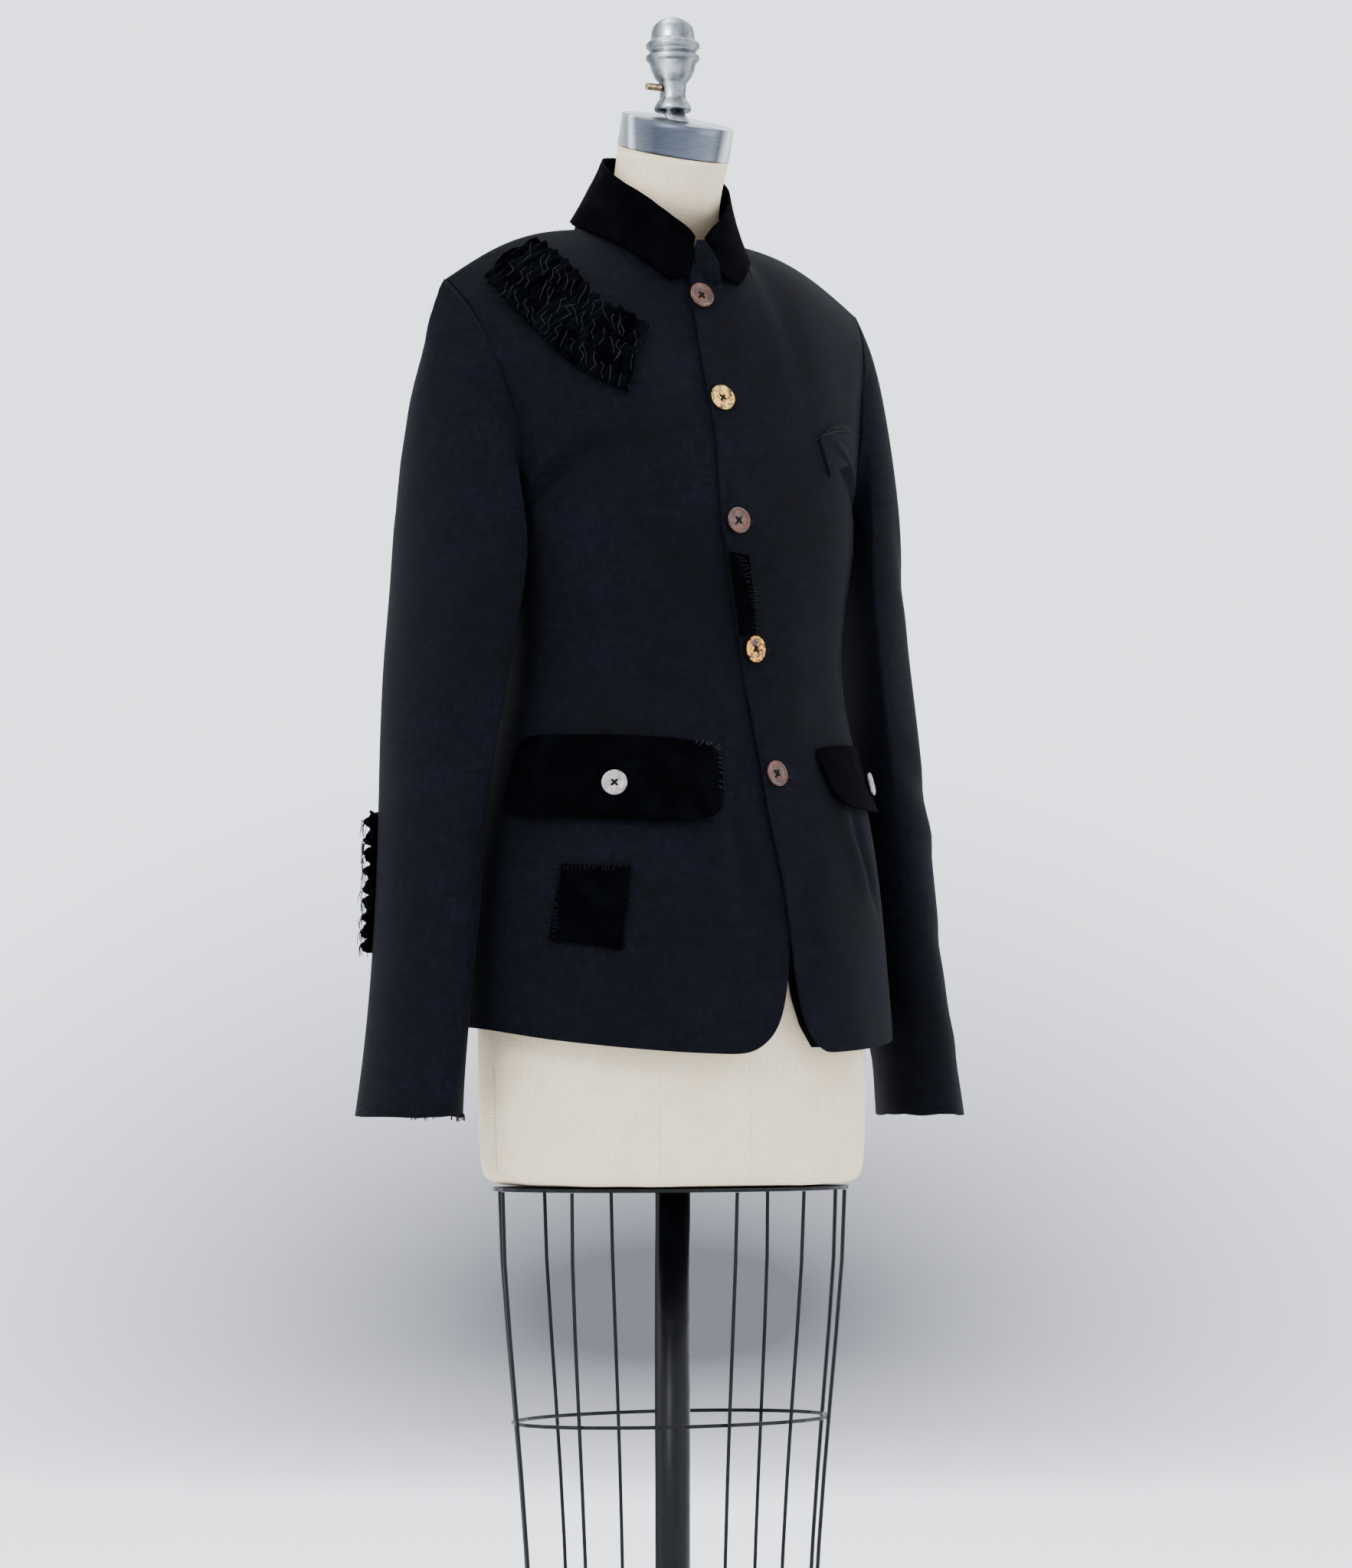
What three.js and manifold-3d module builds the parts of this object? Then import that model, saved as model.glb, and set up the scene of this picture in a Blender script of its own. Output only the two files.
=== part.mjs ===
// A wool jacket with velvet trim, buttoned on a limbless dress form on its stand.
// Millimetres, +Z up, front of the jacket to -Y, wearer's right to -X, floor at z = 0.
import * as THREE from 'three';
import { mergeVertices } from 'three/addons/utils/BufferGeometryUtils.js';
import Module from 'manifold-3d';

const wasm = await Module();
wasm.setup();
const { Manifold, Mesh: SolidMesh } = wasm;

// ---- driving dimensions ----
const WALL = 2.0;            // wool and velvet walls
const SEAM_GAP = 0.3;        // clearance between pieces at a seam
const PATCH_LIFT = 0.8;      // clearance under what lies on a panel
const PATCH_WALL = 1.6;      // velvet patches and flaps
const BUST = 1200;           // height of the bust ring, where the lower rings end
const SIDE_SEAM = 97;        // angle of the side seams from centre front, degrees
const BUTTON_RADIUS = 11;
const BUTTON_THICK = 3.6;
const POLE_RADIUS = 14.5;
const WIRE_RADIUS = 1.7;
const CAGE_WIRES = 12;
const CAGE_TOP = 676;        // underside of the torso, where the plate is
const CAGE_FOOT = 210;       // bottom hoop
const BASE_RADIUS = 205;

// Jacket rings below the bust: half width, front and back depth, squareness.
const JACKET_RINGS = [
  { z: 780, half: 194, front: 142, back: 138, square: 2.25 },
  { z: 880, half: 188, front: 139, back: 136, square: 2.25 },
  { z: 960, half: 178, front: 132, back: 131, square: 2.25 },
  { z: 1030, half: 163, front: 119, back: 120, square: 2.25 },
  { z: 1100, half: 149, front: 107, back: 108, square: 2.2 },
  { z: 1150, half: 151, front: 108, back: 112, square: 2.2 },
  { z: BUST, half: 159, front: 111, back: 118, square: 2.25 },
];
// Dress form rings, bottom to neck: centre depth, half width, front and back depth.
const FORM_RINGS = [
  { z: 678, mid: 0, half: 152, front: 108, back: 102, square: 2.3 },
  { z: 684, mid: 0, half: 164, front: 118, back: 112, square: 2.3 },
  { z: 700, mid: 0, half: 169, front: 122, back: 116, square: 2.25 },
  { z: 790, mid: 0, half: 171, front: 123, back: 119, square: 2.2 },
  { z: 870, mid: 0, half: 172, front: 122, back: 120, square: 2.15 },
  { z: 950, mid: 0, half: 160, front: 112, back: 113, square: 2.15 },
  { z: 1030, mid: 0, half: 140, front: 98, back: 98, square: 2.1 },
  { z: 1100, mid: 0, half: 127, front: 88, back: 88, square: 2.1 },
  { z: 1160, mid: 2, half: 136, front: 94, back: 94, square: 2.1 },
  { z: 1220, mid: 4, half: 143, front: 101, back: 98, square: 2.1 },
  { z: 1280, mid: 8, half: 139, front: 92, back: 95, square: 2.1 },
  { z: 1340, mid: 16, half: 142, front: 74, back: 68, square: 2.0 },
  { z: 1390, mid: 25, half: 152, front: 54, back: 42, square: 1.9 },
  { z: 1420, mid: 28, half: 154, front: 43, back: 29, square: 1.9 },
  { z: 1438, mid: 29, half: 150, front: 34, back: 20, square: 1.9 },
  { z: 1448, mid: 29.5, half: 143, front: 29, back: 17, square: 1.9 },
  { z: 1458, mid: 29.5, half: 131, front: 25, back: 14, square: 1.9 },
  { z: 1466, mid: 29, half: 92, front: 15.2, back: 12.5, square: 1.9 },
  { z: 1474, mid: 25, half: 58, front: 25, back: 17, square: 2.0 },
  { z: 1484, mid: 21, half: 56, front: 32, back: 31, square: 2.0 },
  { z: 1494, mid: 16, half: 50, front: 42, back: 42, square: 2.0 },
  { z: 1515, mid: 9, half: 46, front: 48.5, back: 48.5, square: 2.0 },
];
// Free edges of the fronts: x of the lapping edge (wearer's left front) and of the
// edge of the right front, which lies under it as far down as the last button.
const FRONT_EDGES = [
  { z: 786, over: 62, under: -6 }, { z: 789, over: 54, under: 3 },
  { z: 800, over: 46.5, under: 15 }, { z: 815, over: 40, under: 22 },
  { z: 830, over: 36, under: 25.5 }, { z: 852, over: 33, under: 28.5 },
  { z: 885, over: 29.5, under: 32 }, { z: 917, over: 26, under: 37 },
  { z: 952, over: 20, under: 44 }, { z: 990, over: 13, under: 46 },
  { z: 1035, over: 10, under: 43 }, { z: 1070, over: 11, under: 40 },
  { z: 1102, over: 0, under: 34 }, { z: 1146, over: -5, under: 27 },
  { z: 1196, over: -15, under: 20 }, { z: 1240, over: -19, under: 17 },
  { z: 1302, over: -14, under: 19 }, { z: 1370, over: -17, under: 18 },
  { z: 1440, over: -15, under: 16 },
];
// Hem height by angle from centre front, degrees.
const HEM_LINE = [
  { angle: 0, z: 786 }, { angle: 20, z: 788 }, { angle: 50, z: 796 },
  { angle: 90, z: 808 }, { angle: 180, z: 812 },
];
// Neck seam, from the middle out to the shoulder seam; the wool stands up in a small
// tab between the collar ends.
const FRONT_NECK = [
  { x: 0, y: -42.6, z: 1468 }, { x: 15, y: -46.4, z: 1443 }, { x: 31, y: -49, z: 1429 },
  { x: 43, y: -40.9, z: 1440 }, { x: 51.6, y: -32, z: 1449.5 }, { x: 57.1, y: -21.3, z: 1457.5 },
  { x: 61.2, y: -11, z: 1463.5 }, { x: 64.8, y: 1.2, z: 1469 }, { x: 71, y: 28, z: 1478 },
];
const BACK_NECK = [
  { x: 0, y: 82.5, z: 1493 }, { x: 44.5, y: 71, z: 1489.5 }, { x: 70, y: 47, z: 1484 },
  { x: 71, y: 28, z: 1478 },
];
const NECK_POINT = { x: 71, y: 28, z: 1478 };
const SHOULDER_TIP = { x: 199, y: 30, z: 1426 };
const SHOULDER_CROWN = 13;    // how far the shoulder seam bows up between them
// Armhole seam by turn, degrees: 0 at the shoulder tip, 90 front, 180 under the arm.
const ARMHOLE = [
  { turn: 0, x: 199, y: 30, z: 1426 }, { turn: 40, x: 190, y: 2, z: 1401 },
  { turn: 80, x: 174, y: -23, z: 1347 }, { turn: 120, x: 162, y: -34, z: 1288 },
  { turn: 150, x: 157, y: -24, z: 1252 }, { turn: 180, x: 160, y: 16, z: 1237 },
  { turn: 210, x: 162, y: 52, z: 1254 }, { turn: 240, x: 165, y: 65, z: 1294 },
  { turn: 280, x: 177, y: 63, z: 1350 }, { turn: 320, x: 191, y: 50, z: 1403 },
  { turn: 360, x: 199, y: 30, z: 1426 },
];
// Sleeve sections: middle line of the section, half width out and in, front to back
// half depth and how far the section leans outward to the back.
const SLEEVE_RINGS = [
  { z: 1195, x: 175, out: 60, inn: 8, y: 27, deep: 82, lean: 0.10 },
  { z: 1126, x: 185, out: 57, inn: 10, y: 26, deep: 76, lean: 0.11 },
  { z: 1055, x: 198, out: 51, inn: 18, y: 21, deep: 68, lean: 0.12 },
  { z: 1003, x: 207, out: 46, inn: 23, y: 16, deep: 62, lean: 0.12 },
  { z: 898, x: 223, out: 38, inn: 31, y: 7, deep: 56, lean: 0.12 },
  { z: 795, x: 238, out: 35, inn: 33, y: 2, deep: 53, lean: 0.12 },
  { z: 736, x: 245, out: 38, inn: 36, y: 0, deep: 54, lean: 0.12 },
];
const SLEEVE_TOP = 1195;
const CUFF_WAVES = { count: 5, height: 1.6, depth: 1.8 };
// Collar, from its front end round to centre back: lower (seam) and upper edge.
const COLLAR_RIBS = [
  { low: [14, -57.3, 1434.5], high: [5, -44, 1466] },
  { low: [28, -55.5, 1426], high: [10, -43.5, 1473] },
  { low: [48, -42, 1441], high: [25, -36.5, 1485] },
  { low: [59, -25, 1454.7], high: [40, -24, 1501] },
  { low: [65, -6, 1464.1], high: [51.5, -3, 1516] },
  { low: [70.5, 18, 1474.6], high: [55, 16, 1529] },
  { low: [74, 47, 1485.7], high: [45, 39, 1541] },
  { low: [46, 75, 1492.2], high: [27, 57, 1547] },
  { low: [0, 86.5, 1495.6], high: [0, 64, 1549] },
];
// Cage ellipses, top to bottom.
const CAGE_RINGS = [
  { z: CAGE_TOP, half: 160, deep: 105 }, { z: 600, half: 157, deep: 101 },
  { z: 485, half: 146, deep: 92 }, { z: 340, half: 134, deep: 84 },
  { z: CAGE_FOOT, half: 130, deep: 82 },
];

// ---- small helpers ----
const radians = (degrees) => degrees * Math.PI / 180;
const mix = (a, b, t) => a + (b - a) * t;
const clamp = (value, low, high) => Math.min(high, Math.max(low, value));
const smooth = (t) => {
  const c = clamp(t, 0, 1);
  return c * c * (3 - 2 * c);
};
const power = (value, exponent) => Math.sign(value) * Math.abs(value) ** exponent;

// Smooth reading of one column of a table, with flat ends.
function read(table, key, at, column) {
  const last = table.length - 1;
  const place = clamp(at, table[0][key], table[last][key]);
  let row = 0;
  while (row < last - 1 && place > table[row + 1][key]) row += 1;
  const slope = (i) => (i <= 0 || i >= last ? 0
    : (table[i + 1][column] - table[i - 1][column]) / (table[i + 1][key] - table[i - 1][key]));
  const span = table[row + 1][key] - table[row][key];
  const t = (place - table[row][key]) / span;
  const t2 = t * t;
  const t3 = t2 * t;
  return (2 * t3 - 3 * t2 + 1) * table[row][column] + (t3 - 2 * t2 + t) * span * slope(row)
    + (3 * t2 - 2 * t3) * table[row + 1][column] + (t3 - t2) * span * slope(row + 1);
}

// A curve through the x, y, z columns of a table.
const curveOf = (rows) => new THREE.CatmullRomCurve3(
  rows.map((row) => new THREE.Vector3(row.x, row.y, row.z)), false, 'centripetal');

const frontNeckCurve = curveOf(FRONT_NECK);
const backNeckCurve = curveOf(BACK_NECK);

function ringPoint(table, z, degrees) {
  const half = read(table, 'z', z, 'half');
  const front = read(table, 'z', z, 'front');
  const back = read(table, 'z', z, 'back');
  const square = read(table, 'z', z, 'square');
  const mid = table[0].mid === undefined ? 0 : read(table, 'z', z, 'mid');
  const c = power(Math.cos(radians(degrees)), 2 / square);
  const s = power(Math.sin(radians(degrees)), 2 / square);
  return new THREE.Vector3(half * s, mid - (c > 0 ? front : back) * c, z);
}

// Angle on a jacket ring of a point that lies x to the wearer's left of centre front.
function ringAngle(z, x) {
  const half = read(JACKET_RINGS, 'z', Math.min(z, BUST), 'half');
  const square = read(JACKET_RINGS, 'z', Math.min(z, BUST), 'square');
  return Math.asin(power(clamp(x / half, -1, 1), square / 2)) * 180 / Math.PI;
}

const armholePoint = (turn) => new THREE.Vector3(
  read(ARMHOLE, 'turn', turn, 'x'), read(ARMHOLE, 'turn', turn, 'y'),
  read(ARMHOLE, 'turn', turn, 'z'));

function shoulderPoint(t) {
  const crown = SHOULDER_CROWN * Math.sin(Math.PI * t);
  return new THREE.Vector3(mix(NECK_POINT.x, SHOULDER_TIP.x, t),
    mix(NECK_POINT.y, SHOULDER_TIP.y, t), mix(NECK_POINT.z, SHOULDER_TIP.z, t) + crown);
}

// ---- walls ----
// Outward normals of a grid of points; `round` joins the last column to the first.
function gridNormals(grid, { round = false, flip = false } = {}) {
  const columns = grid.length;
  const rows = grid[0].length;
  const at = (i, j) => {
    const column = round ? (i + columns) % columns : clamp(i, 0, columns - 1);
    return grid[column][clamp(j, 0, rows - 1)];
  };
  return grid.map((column, i) => column.map((point, j) => {
    const across = at(i + 1, j).clone().sub(at(i - 1, j));
    const along = at(i, j + 1).clone().sub(at(i, j - 1));
    return across.cross(along).normalize().multiplyScalar(flip ? -1 : 1);
  }));
}

// Turns a grid of points into a closed wall: the grid is the outer face, and the inner
// face lies `thick` behind it.
function wall(grid, thick, { round = false, flip = false, normals = null } = {}) {
  const columns = grid.length;
  const rows = grid[0].length;
  const positions = [];
  const faceOut = normals ?? gridNormals(grid, { round, flip });
  for (const layer of [0, 1]) {
    grid.forEach((column, i) => column.forEach((point, j) => {
      const moved = point.clone().addScaledVector(faceOut[i][j], -thick * layer);
      positions.push(moved.x, moved.y, moved.z);
    }));
  }
  const index = [];
  const id = (layer, i, j) => layer * columns * rows + (round ? i % columns : i) * rows + j;
  const quad = (a, b, c, d) => {
    if (flip) index.push(a, c, b, a, d, c);
    else index.push(a, b, c, a, c, d);
  };
  const cells = round ? columns : columns - 1;
  for (let i = 0; i < cells; i += 1) {
    for (let j = 0; j < rows - 1; j += 1) {
      quad(id(0, i, j), id(0, i + 1, j), id(0, i + 1, j + 1), id(0, i, j + 1));
      quad(id(1, i, j), id(1, i, j + 1), id(1, i + 1, j + 1), id(1, i + 1, j));
    }
    quad(id(0, i, 0), id(1, i, 0), id(1, i + 1, 0), id(0, i + 1, 0));
    quad(id(0, i, rows - 1), id(0, i + 1, rows - 1), id(1, i + 1, rows - 1), id(1, i, rows - 1));
  }
  if (!round) {
    for (let j = 0; j < rows - 1; j += 1) {
      quad(id(0, 0, j), id(0, 0, j + 1), id(1, 0, j + 1), id(1, 0, j));
      const end = columns - 1;
      quad(id(0, end, j), id(1, end, j), id(1, end, j + 1), id(0, end, j + 1));
    }
  }
  return meshGeometry(positions, index);
}

function meshGeometry(positions, index) {
  const geometry = new THREE.BufferGeometry();
  geometry.setAttribute('position', new THREE.Float32BufferAttribute(positions, 3));
  geometry.setIndex(index);
  return geometry;
}

// A solid through closed rings of points, capped flat at both ends.
function loft(rings) {
  const count = rings[0].length;
  const positions = rings.flat().flatMap((p) => [p.x, p.y, p.z]);
  const index = [];
  for (let k = 0; k < rings.length - 1; k += 1) {
    for (let i = 0; i < count; i += 1) {
      const a = k * count + i;
      const b = k * count + (i + 1) % count;
      index.push(a, b, b + count, a, b + count, a + count);
    }
  }
  for (const [ring, top] of [[0, false], [rings.length - 1, true]]) {
    const middle = rings[ring].reduce((sum, p) => sum.add(p), new THREE.Vector3())
      .divideScalar(count);
    const hub = positions.length / 3;
    positions.push(middle.x, middle.y, middle.z);
    for (let i = 0; i < count; i += 1) {
      const a = ring * count + i;
      const b = ring * count + (i + 1) % count;
      if (top) index.push(a, b, hub);
      else index.push(b, a, hub);
    }
  }
  return meshGeometry(positions, index);
}

function toSolid(geometry) {
  const bare = geometry.clone();
  bare.deleteAttribute('normal');
  bare.deleteAttribute('uv');
  const merged = mergeVertices(bare, 1e-4);
  return new Manifold(new SolidMesh({
    numProp: 3,
    vertProperties: Float32Array.from(merged.attributes.position.array),
    triVerts: Uint32Array.from(merged.index.array),
  }));
}

function fromSolid(solid) {
  const mesh = solid.getMesh();
  return meshGeometry(Array.from(mesh.vertProperties), Array.from(mesh.triVerts));
}

const sequence = (count, make) => Array.from({ length: count }, (_, i) => make(i));
const spread = (from, to, count) => sequence(count, (i) => mix(from, to, i / (count - 1)));

// ---- the jacket's surface ----
// side is +1 on the wearer's left and -1 on the right. A place on a front panel is
// across (0 at the free edge, 1 at the side seam) and up (0 hem, 1 bust, 2 top edge).
const NECK_SHARE = 0.30;     // share of a panel's width that ends on the neck seam
const SHOULDER_SHARE = 0.52; // and the share that ends on the neck or the shoulder
const ARMHOLE_EASE = 0.8;    // spreads the columns that end on the armhole
const LAP_LIFT = WALL + 1.2; // the lapping edge lies on the other front
const LAP_FULL = 46;         // how far in from its edge the lapping front is fully lifted
const LAP_REACH = 86;        // and where it is back on the body's surface

const hemHeight = (degrees) => read(HEM_LINE, 'angle', Math.abs(degrees), 'z');
const edgeX = (z, side) => read(FRONT_EDGES, 'z', z, side > 0 ? 'over' : 'under') * side;

const armholeTurn = (share) => 180 * share ** ARMHOLE_EASE;

// Upper end of a column of the front or the back, by its share of the width.
function topEnd(share, neckCurve, turned) {
  if (share <= NECK_SHARE) return neckCurve.getPoint(share / NECK_SHARE);
  if (share <= SHOULDER_SHARE) {
    return shoulderPoint((share - NECK_SHARE) / (SHOULDER_SHARE - NECK_SHARE));
  }
  const turn = armholeTurn((share - SHOULDER_SHARE) / (1 - SHOULDER_SHARE));
  return armholePoint(turned ? 360 - turn : turn);
}

// How much a column rolls over the top instead of running straight into its end.
const ridge = (across) => smooth(across / (NECK_SHARE + 0.06))
  * (1 - smooth((across - SHOULDER_SHARE) / 0.22));

// One column above the bust: it leaves the bust ring upright and reaches its top end.
function upperPoint(foot, head, across, t) {
  const t2 = t * t;
  const t3 = t2 * t;
  const roll = ridge(across);
  const rise = head.z - foot.z;
  const flat = head.clone().sub(foot).setZ(0);
  const place = foot.clone().multiplyScalar(2 * t3 - 3 * t2 + 1)
    .addScaledVector(head, 3 * t2 - 2 * t3)
    .addScaledVector(flat, (t3 - t2) * mix(1, 1.8, roll));
  place.z += (t3 - 2 * t2 + t) * rise * mix(0.9, 1.35, roll)
    + (t3 - t2) * rise * mix(1, 0.25, roll);
  return place;
}

// Soft hollows and swellings of the worn cloth, measured along the outward normal.
const FRONT_FOLDS = [
  { across: 0.90, up: 1.18, wide: 0.10, tall: 0.34, deep: -4, tilt: -0.55 },
  { across: 0.80, up: 1.06, wide: 0.10, tall: 0.30, deep: 4, tilt: -0.4 },
  { across: 0.62, up: 0.82, wide: 0.12, tall: 0.30, deep: -3, tilt: 0.2 },
  { across: 0.45, up: 0.60, wide: 0.16, tall: 0.26, deep: 2.5, tilt: 0.1 },
  { across: 0.30, up: 0.25, wide: 0.14, tall: 0.30, deep: 2.5, tilt: 0 },
  { across: 0.66, up: 0.20, wide: 0.12, tall: 0.34, deep: -3, tilt: 0 },
];
const BACK_FOLDS = [
  { across: 0.85, up: 1.15, wide: 0.12, tall: 0.36, deep: -6, tilt: -0.4 },
  { across: 0.60, up: 0.85, wide: 0.16, tall: 0.30, deep: 2.5, tilt: 0.2 },
  { across: 0.45, up: 0.28, wide: 0.16, tall: 0.36, deep: 2.5, tilt: 0 },
];
function foldDepth(folds, across, up) {
  return folds.reduce((sum, fold) => {
    const rise = up - fold.up;
    const off = across - fold.across - fold.tilt * rise * 0.4;
    return sum + fold.deep * Math.exp(-((off / fold.wide) ** 2) - ((rise / fold.tall) ** 2));
  }, 0);
}

// The body's front by its share of the way from the middle to the side seam; shares
// below nothing lie past the middle.
function frontBase(share, up) {
  const reach = Math.abs(share);
  const degrees = reach * SIDE_SEAM;
  const point = up <= 1
    ? ringPoint(JACKET_RINGS, mix(hemHeight(degrees), BUST, up), degrees)
    : upperPoint(ringPoint(JACKET_RINGS, BUST, degrees), topEnd(reach, frontNeckCurve, false),
      reach, up - 1);
  if (share < 0) point.x *= -1;
  return point;
}

// Share at which a front's free edge runs, at a height.
const EDGE_PROBE = 0.06;
function edgeShare(up, side) {
  if (up <= 1) {
    const z = mix(hemHeight(0), BUST, up);
    return ringAngle(z, edgeX(z, side)) / SIDE_SEAM;
  }
  const z = frontBase(0, up).z;
  return edgeX(z, side) * EDGE_PROBE / frontBase(EDGE_PROBE, up).x;
}

function frontPlace(across, up, side) {
  const drawn = edgeShare(up, side) * (1 - smooth(across / NECK_SHARE));
  return frontBase(across + drawn, up);
}

function backPlace(across, up) {
  const degrees = mix(180, SIDE_SEAM, across);
  if (up <= 1) return ringPoint(JACKET_RINGS, mix(hemHeight(degrees), BUST, up), degrees);
  const foot = ringPoint(JACKET_RINGS, BUST, degrees);
  return upperPoint(foot, topEnd(across, backNeckCurve, true), across, up - 1);
}

const STEP = 0.004;
function outwardNormal(place, across, up) {
  const high = up + STEP > 2 ? 2 : up + STEP;
  const low = high - 2 * STEP;
  const wide = across + STEP > 1 ? 1 : across + STEP;
  const narrow = Math.max(wide - 2 * STEP, 0);
  const along = place(across, high).sub(place(across, Math.max(low, 0)));
  const over = place(wide, up).sub(place(narrow, up));
  return over.cross(along).normalize();
}

// A point of a front panel, moved `out` of its surface.
function frontPoint(across, up, side, out = 0) {
  const place = (a, u) => frontPlace(a, u, side);
  const point = place(across, up);
  const normal = outwardNormal(place, across, up);
  const inward = (point.x - edgeX(point.z, 1) - LAP_FULL) / (LAP_REACH - LAP_FULL);
  const lift = side > 0 ? LAP_LIFT * (1 - smooth(inward)) : 0;
  const fold = foldDepth(FRONT_FOLDS, across, up) * smooth(across / 0.15)
    * smooth((2 - up) / 0.25) * smooth((1.02 - across) / 0.1);
  point.addScaledVector(normal, fold + lift + out);
  point.x *= side;
  return point;
}

function backPoint(across, up, side) {
  const point = backPlace(across, up);
  const normal = outwardNormal(backPlace, across, up).negate();
  const fold = foldDepth(BACK_FOLDS, across, up) * smooth(across / 0.15)
    * smooth((2 - up) / 0.25) * smooth((1.02 - across) / 0.1);
  point.addScaledVector(normal, fold);
  point.x *= side;
  return point;
}

// ---- panels ----
// Outward normal of a finished surface at a place on it.
function faceNormal(place, a, u, outward) {
  const a1 = Math.min(a + STEP, 1);
  const u1 = Math.min(u + STEP, 2);
  const over = place(a1, u).sub(place(Math.max(a1 - 2 * STEP, 0), u));
  const along = place(a, u1).sub(place(a, Math.max(u1 - 2 * STEP, 0)));
  return over.cross(along).normalize().multiplyScalar(outward);
}

// Where two panels meet they share one normal, so their edges stay side by side.
const onSeam = (a, u) => a > 1 - 2 * TRIM
  || (u > 2 - 3 * TRIM && a > NECK_SHARE - TRIM && a < SHOULDER_SHARE + TRIM);
function panelWall(side, isFront) {
  const faces = [(a, u) => frontPoint(a, u, side), (a, u) => backPoint(a, u, side)];
  const outwards = [side, -side];
  const own = isFront ? 0 : 1;
  const columns = panelColumns();
  if (!isFront) columns[0] = TRIM;
  const rows = panelRows();
  const grid = columns.map((a) => rows.map((u) => faces[own](a, u)));
  const normals = columns.map((a) => rows.map((u) => {
    if (!isFront && a <= TRIM) return faceNormal(faces[1], a, u, outwards[1]).setX(0).normalize();
    if (!onSeam(a, u)) return faceNormal(faces[own], a, u, outwards[own]);
    return faceNormal(faces[0], a, u, outwards[0])
      .add(faceNormal(faces[1], a, u, outwards[1])).normalize();
  }));
  return wall(grid, WALL, { normals, flip: outwards[own] < 0 });
}

const TRIM = 0.0008;         // share of a panel's width or height lost at a seam
const NECK_COLUMNS = 5;
const SHOULDER_COLUMNS = 4;
const ARMHOLE_COLUMNS = 8;
const LOWER_ROWS = 10;
const UPPER_ROWS = 8;
const panelColumns = () => [
  ...spread(0, NECK_SHARE, NECK_COLUMNS + 1),
  ...spread(NECK_SHARE, SHOULDER_SHARE, SHOULDER_COLUMNS + 1).slice(1),
  ...spread(SHOULDER_SHARE, 1 - TRIM, ARMHOLE_COLUMNS + 1).slice(1),
];
const HEM_CROWDING = 1.4;    // rows lie closer together near the rounded hem corners
const panelRows = () => [
  ...spread(0, 1, LOWER_ROWS + 1).map((up) => up ** HEM_CROWDING),
  ...spread(1, 2 - 2 * TRIM, UPPER_ROWS + 1).slice(1),
];

// ---- sleeves ----
const CAP_ROWS = 6;
const TUBE_ROWS = 12;
const CAP_START = 1.0;       // the sleeve starts this far out from the armhole
function sleeveSection(turn, z) {
  const c = Math.cos(radians(turn));
  const s = Math.sin(radians(turn));
  const value = (column) => read(SLEEVE_DOWN, 'z', z, column);
  const y = value('y') - value('deep') * s;
  const reach = c > 0 ? value('out') : value('inn');
  return new THREE.Vector3(value('x') + reach * c + value('lean') * (y - value('y')), y, z);
}
const SLEEVE_DOWN = [...SLEEVE_RINGS].reverse();
const CUFF = SLEEVE_DOWN[0].z;

// Long soft folds of the sleeve, by turn and height.
const SLEEVE_FOLDS = [
  { turn: 70, z: 1120, wide: 22, tall: 150, deep: -4 },
  { turn: 30, z: 1010, wide: 20, tall: 170, deep: 2.5 },
  { turn: 120, z: 960, wide: 24, tall: 120, deep: -3 },
  { turn: 300, z: 980, wide: 26, tall: 160, deep: 2.5 },
  { turn: 250, z: 1090, wide: 24, tall: 120, deep: -3.5 },
  { turn: 40, z: 840, wide: 22, tall: 90, deep: -2 },
];
function sleevePoint(turn, down, side, out = 0) {
  const turned = ((turn % 360) + 360) % 360;
  const c = Math.cos(radians(turned));
  const s = Math.sin(radians(turned));
  let point;
  if (down <= 1) {
    const seam = armholePoint(turned);
    seam.x += CAP_START;
    const end = sleeveSection(turned, SLEEVE_TOP);
    const t = down;
    const t2 = t * t;
    const t3 = t2 * t;
    const leave = new THREE.Vector3(mix(16, 60, (1 + c) / 2), 10 - 10 * s, 12 * c - 6);
    const arrive = new THREE.Vector3(0, 0, (end.z - seam.z) * 0.95);
    point = seam.multiplyScalar(2 * t3 - 3 * t2 + 1).addScaledVector(leave, t3 - 2 * t2 + t)
      .addScaledVector(end, 3 * t2 - 2 * t3).addScaledVector(arrive, t3 - t2);
  } else {
    const low = smooth((down - 1.9) / 0.1);
    const wave = Math.sin(radians(turned * CUFF_WAVES.count)) * low;
    const z = mix(SLEEVE_TOP, CUFF, down - 1);
    point = sleeveSection(turned, z);
    point.z += wave * CUFF_WAVES.height;
    out += wave * CUFF_WAVES.depth;
    for (const fold of SLEEVE_FOLDS) {
      const around = (turned - fold.turn) / fold.wide;
      const along = (z - fold.z) / fold.tall;
      out += fold.deep * Math.exp(-around * around - along * along) * smooth((down - 1) * 5);
    }
  }
  point.x += out * c;
  point.y -= out * s;
  point.x *= side;
  return point;
}

// The sleeve's edge is square to the cloth that it is set into.
function armholeNormal(turn, side) {
  const isFront = turn <= 180;
  const ease = ((isFront ? turn : 360 - turn) / 180) ** (1 / ARMHOLE_EASE);
  const across = mix(SHOULDER_SHARE, 1, ease);
  return isFront ? faceNormal((a, u) => frontPoint(a, u, side), across, 2, side)
    : faceNormal((a, u) => backPoint(a, u, side), across, 2, -side);
}

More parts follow.
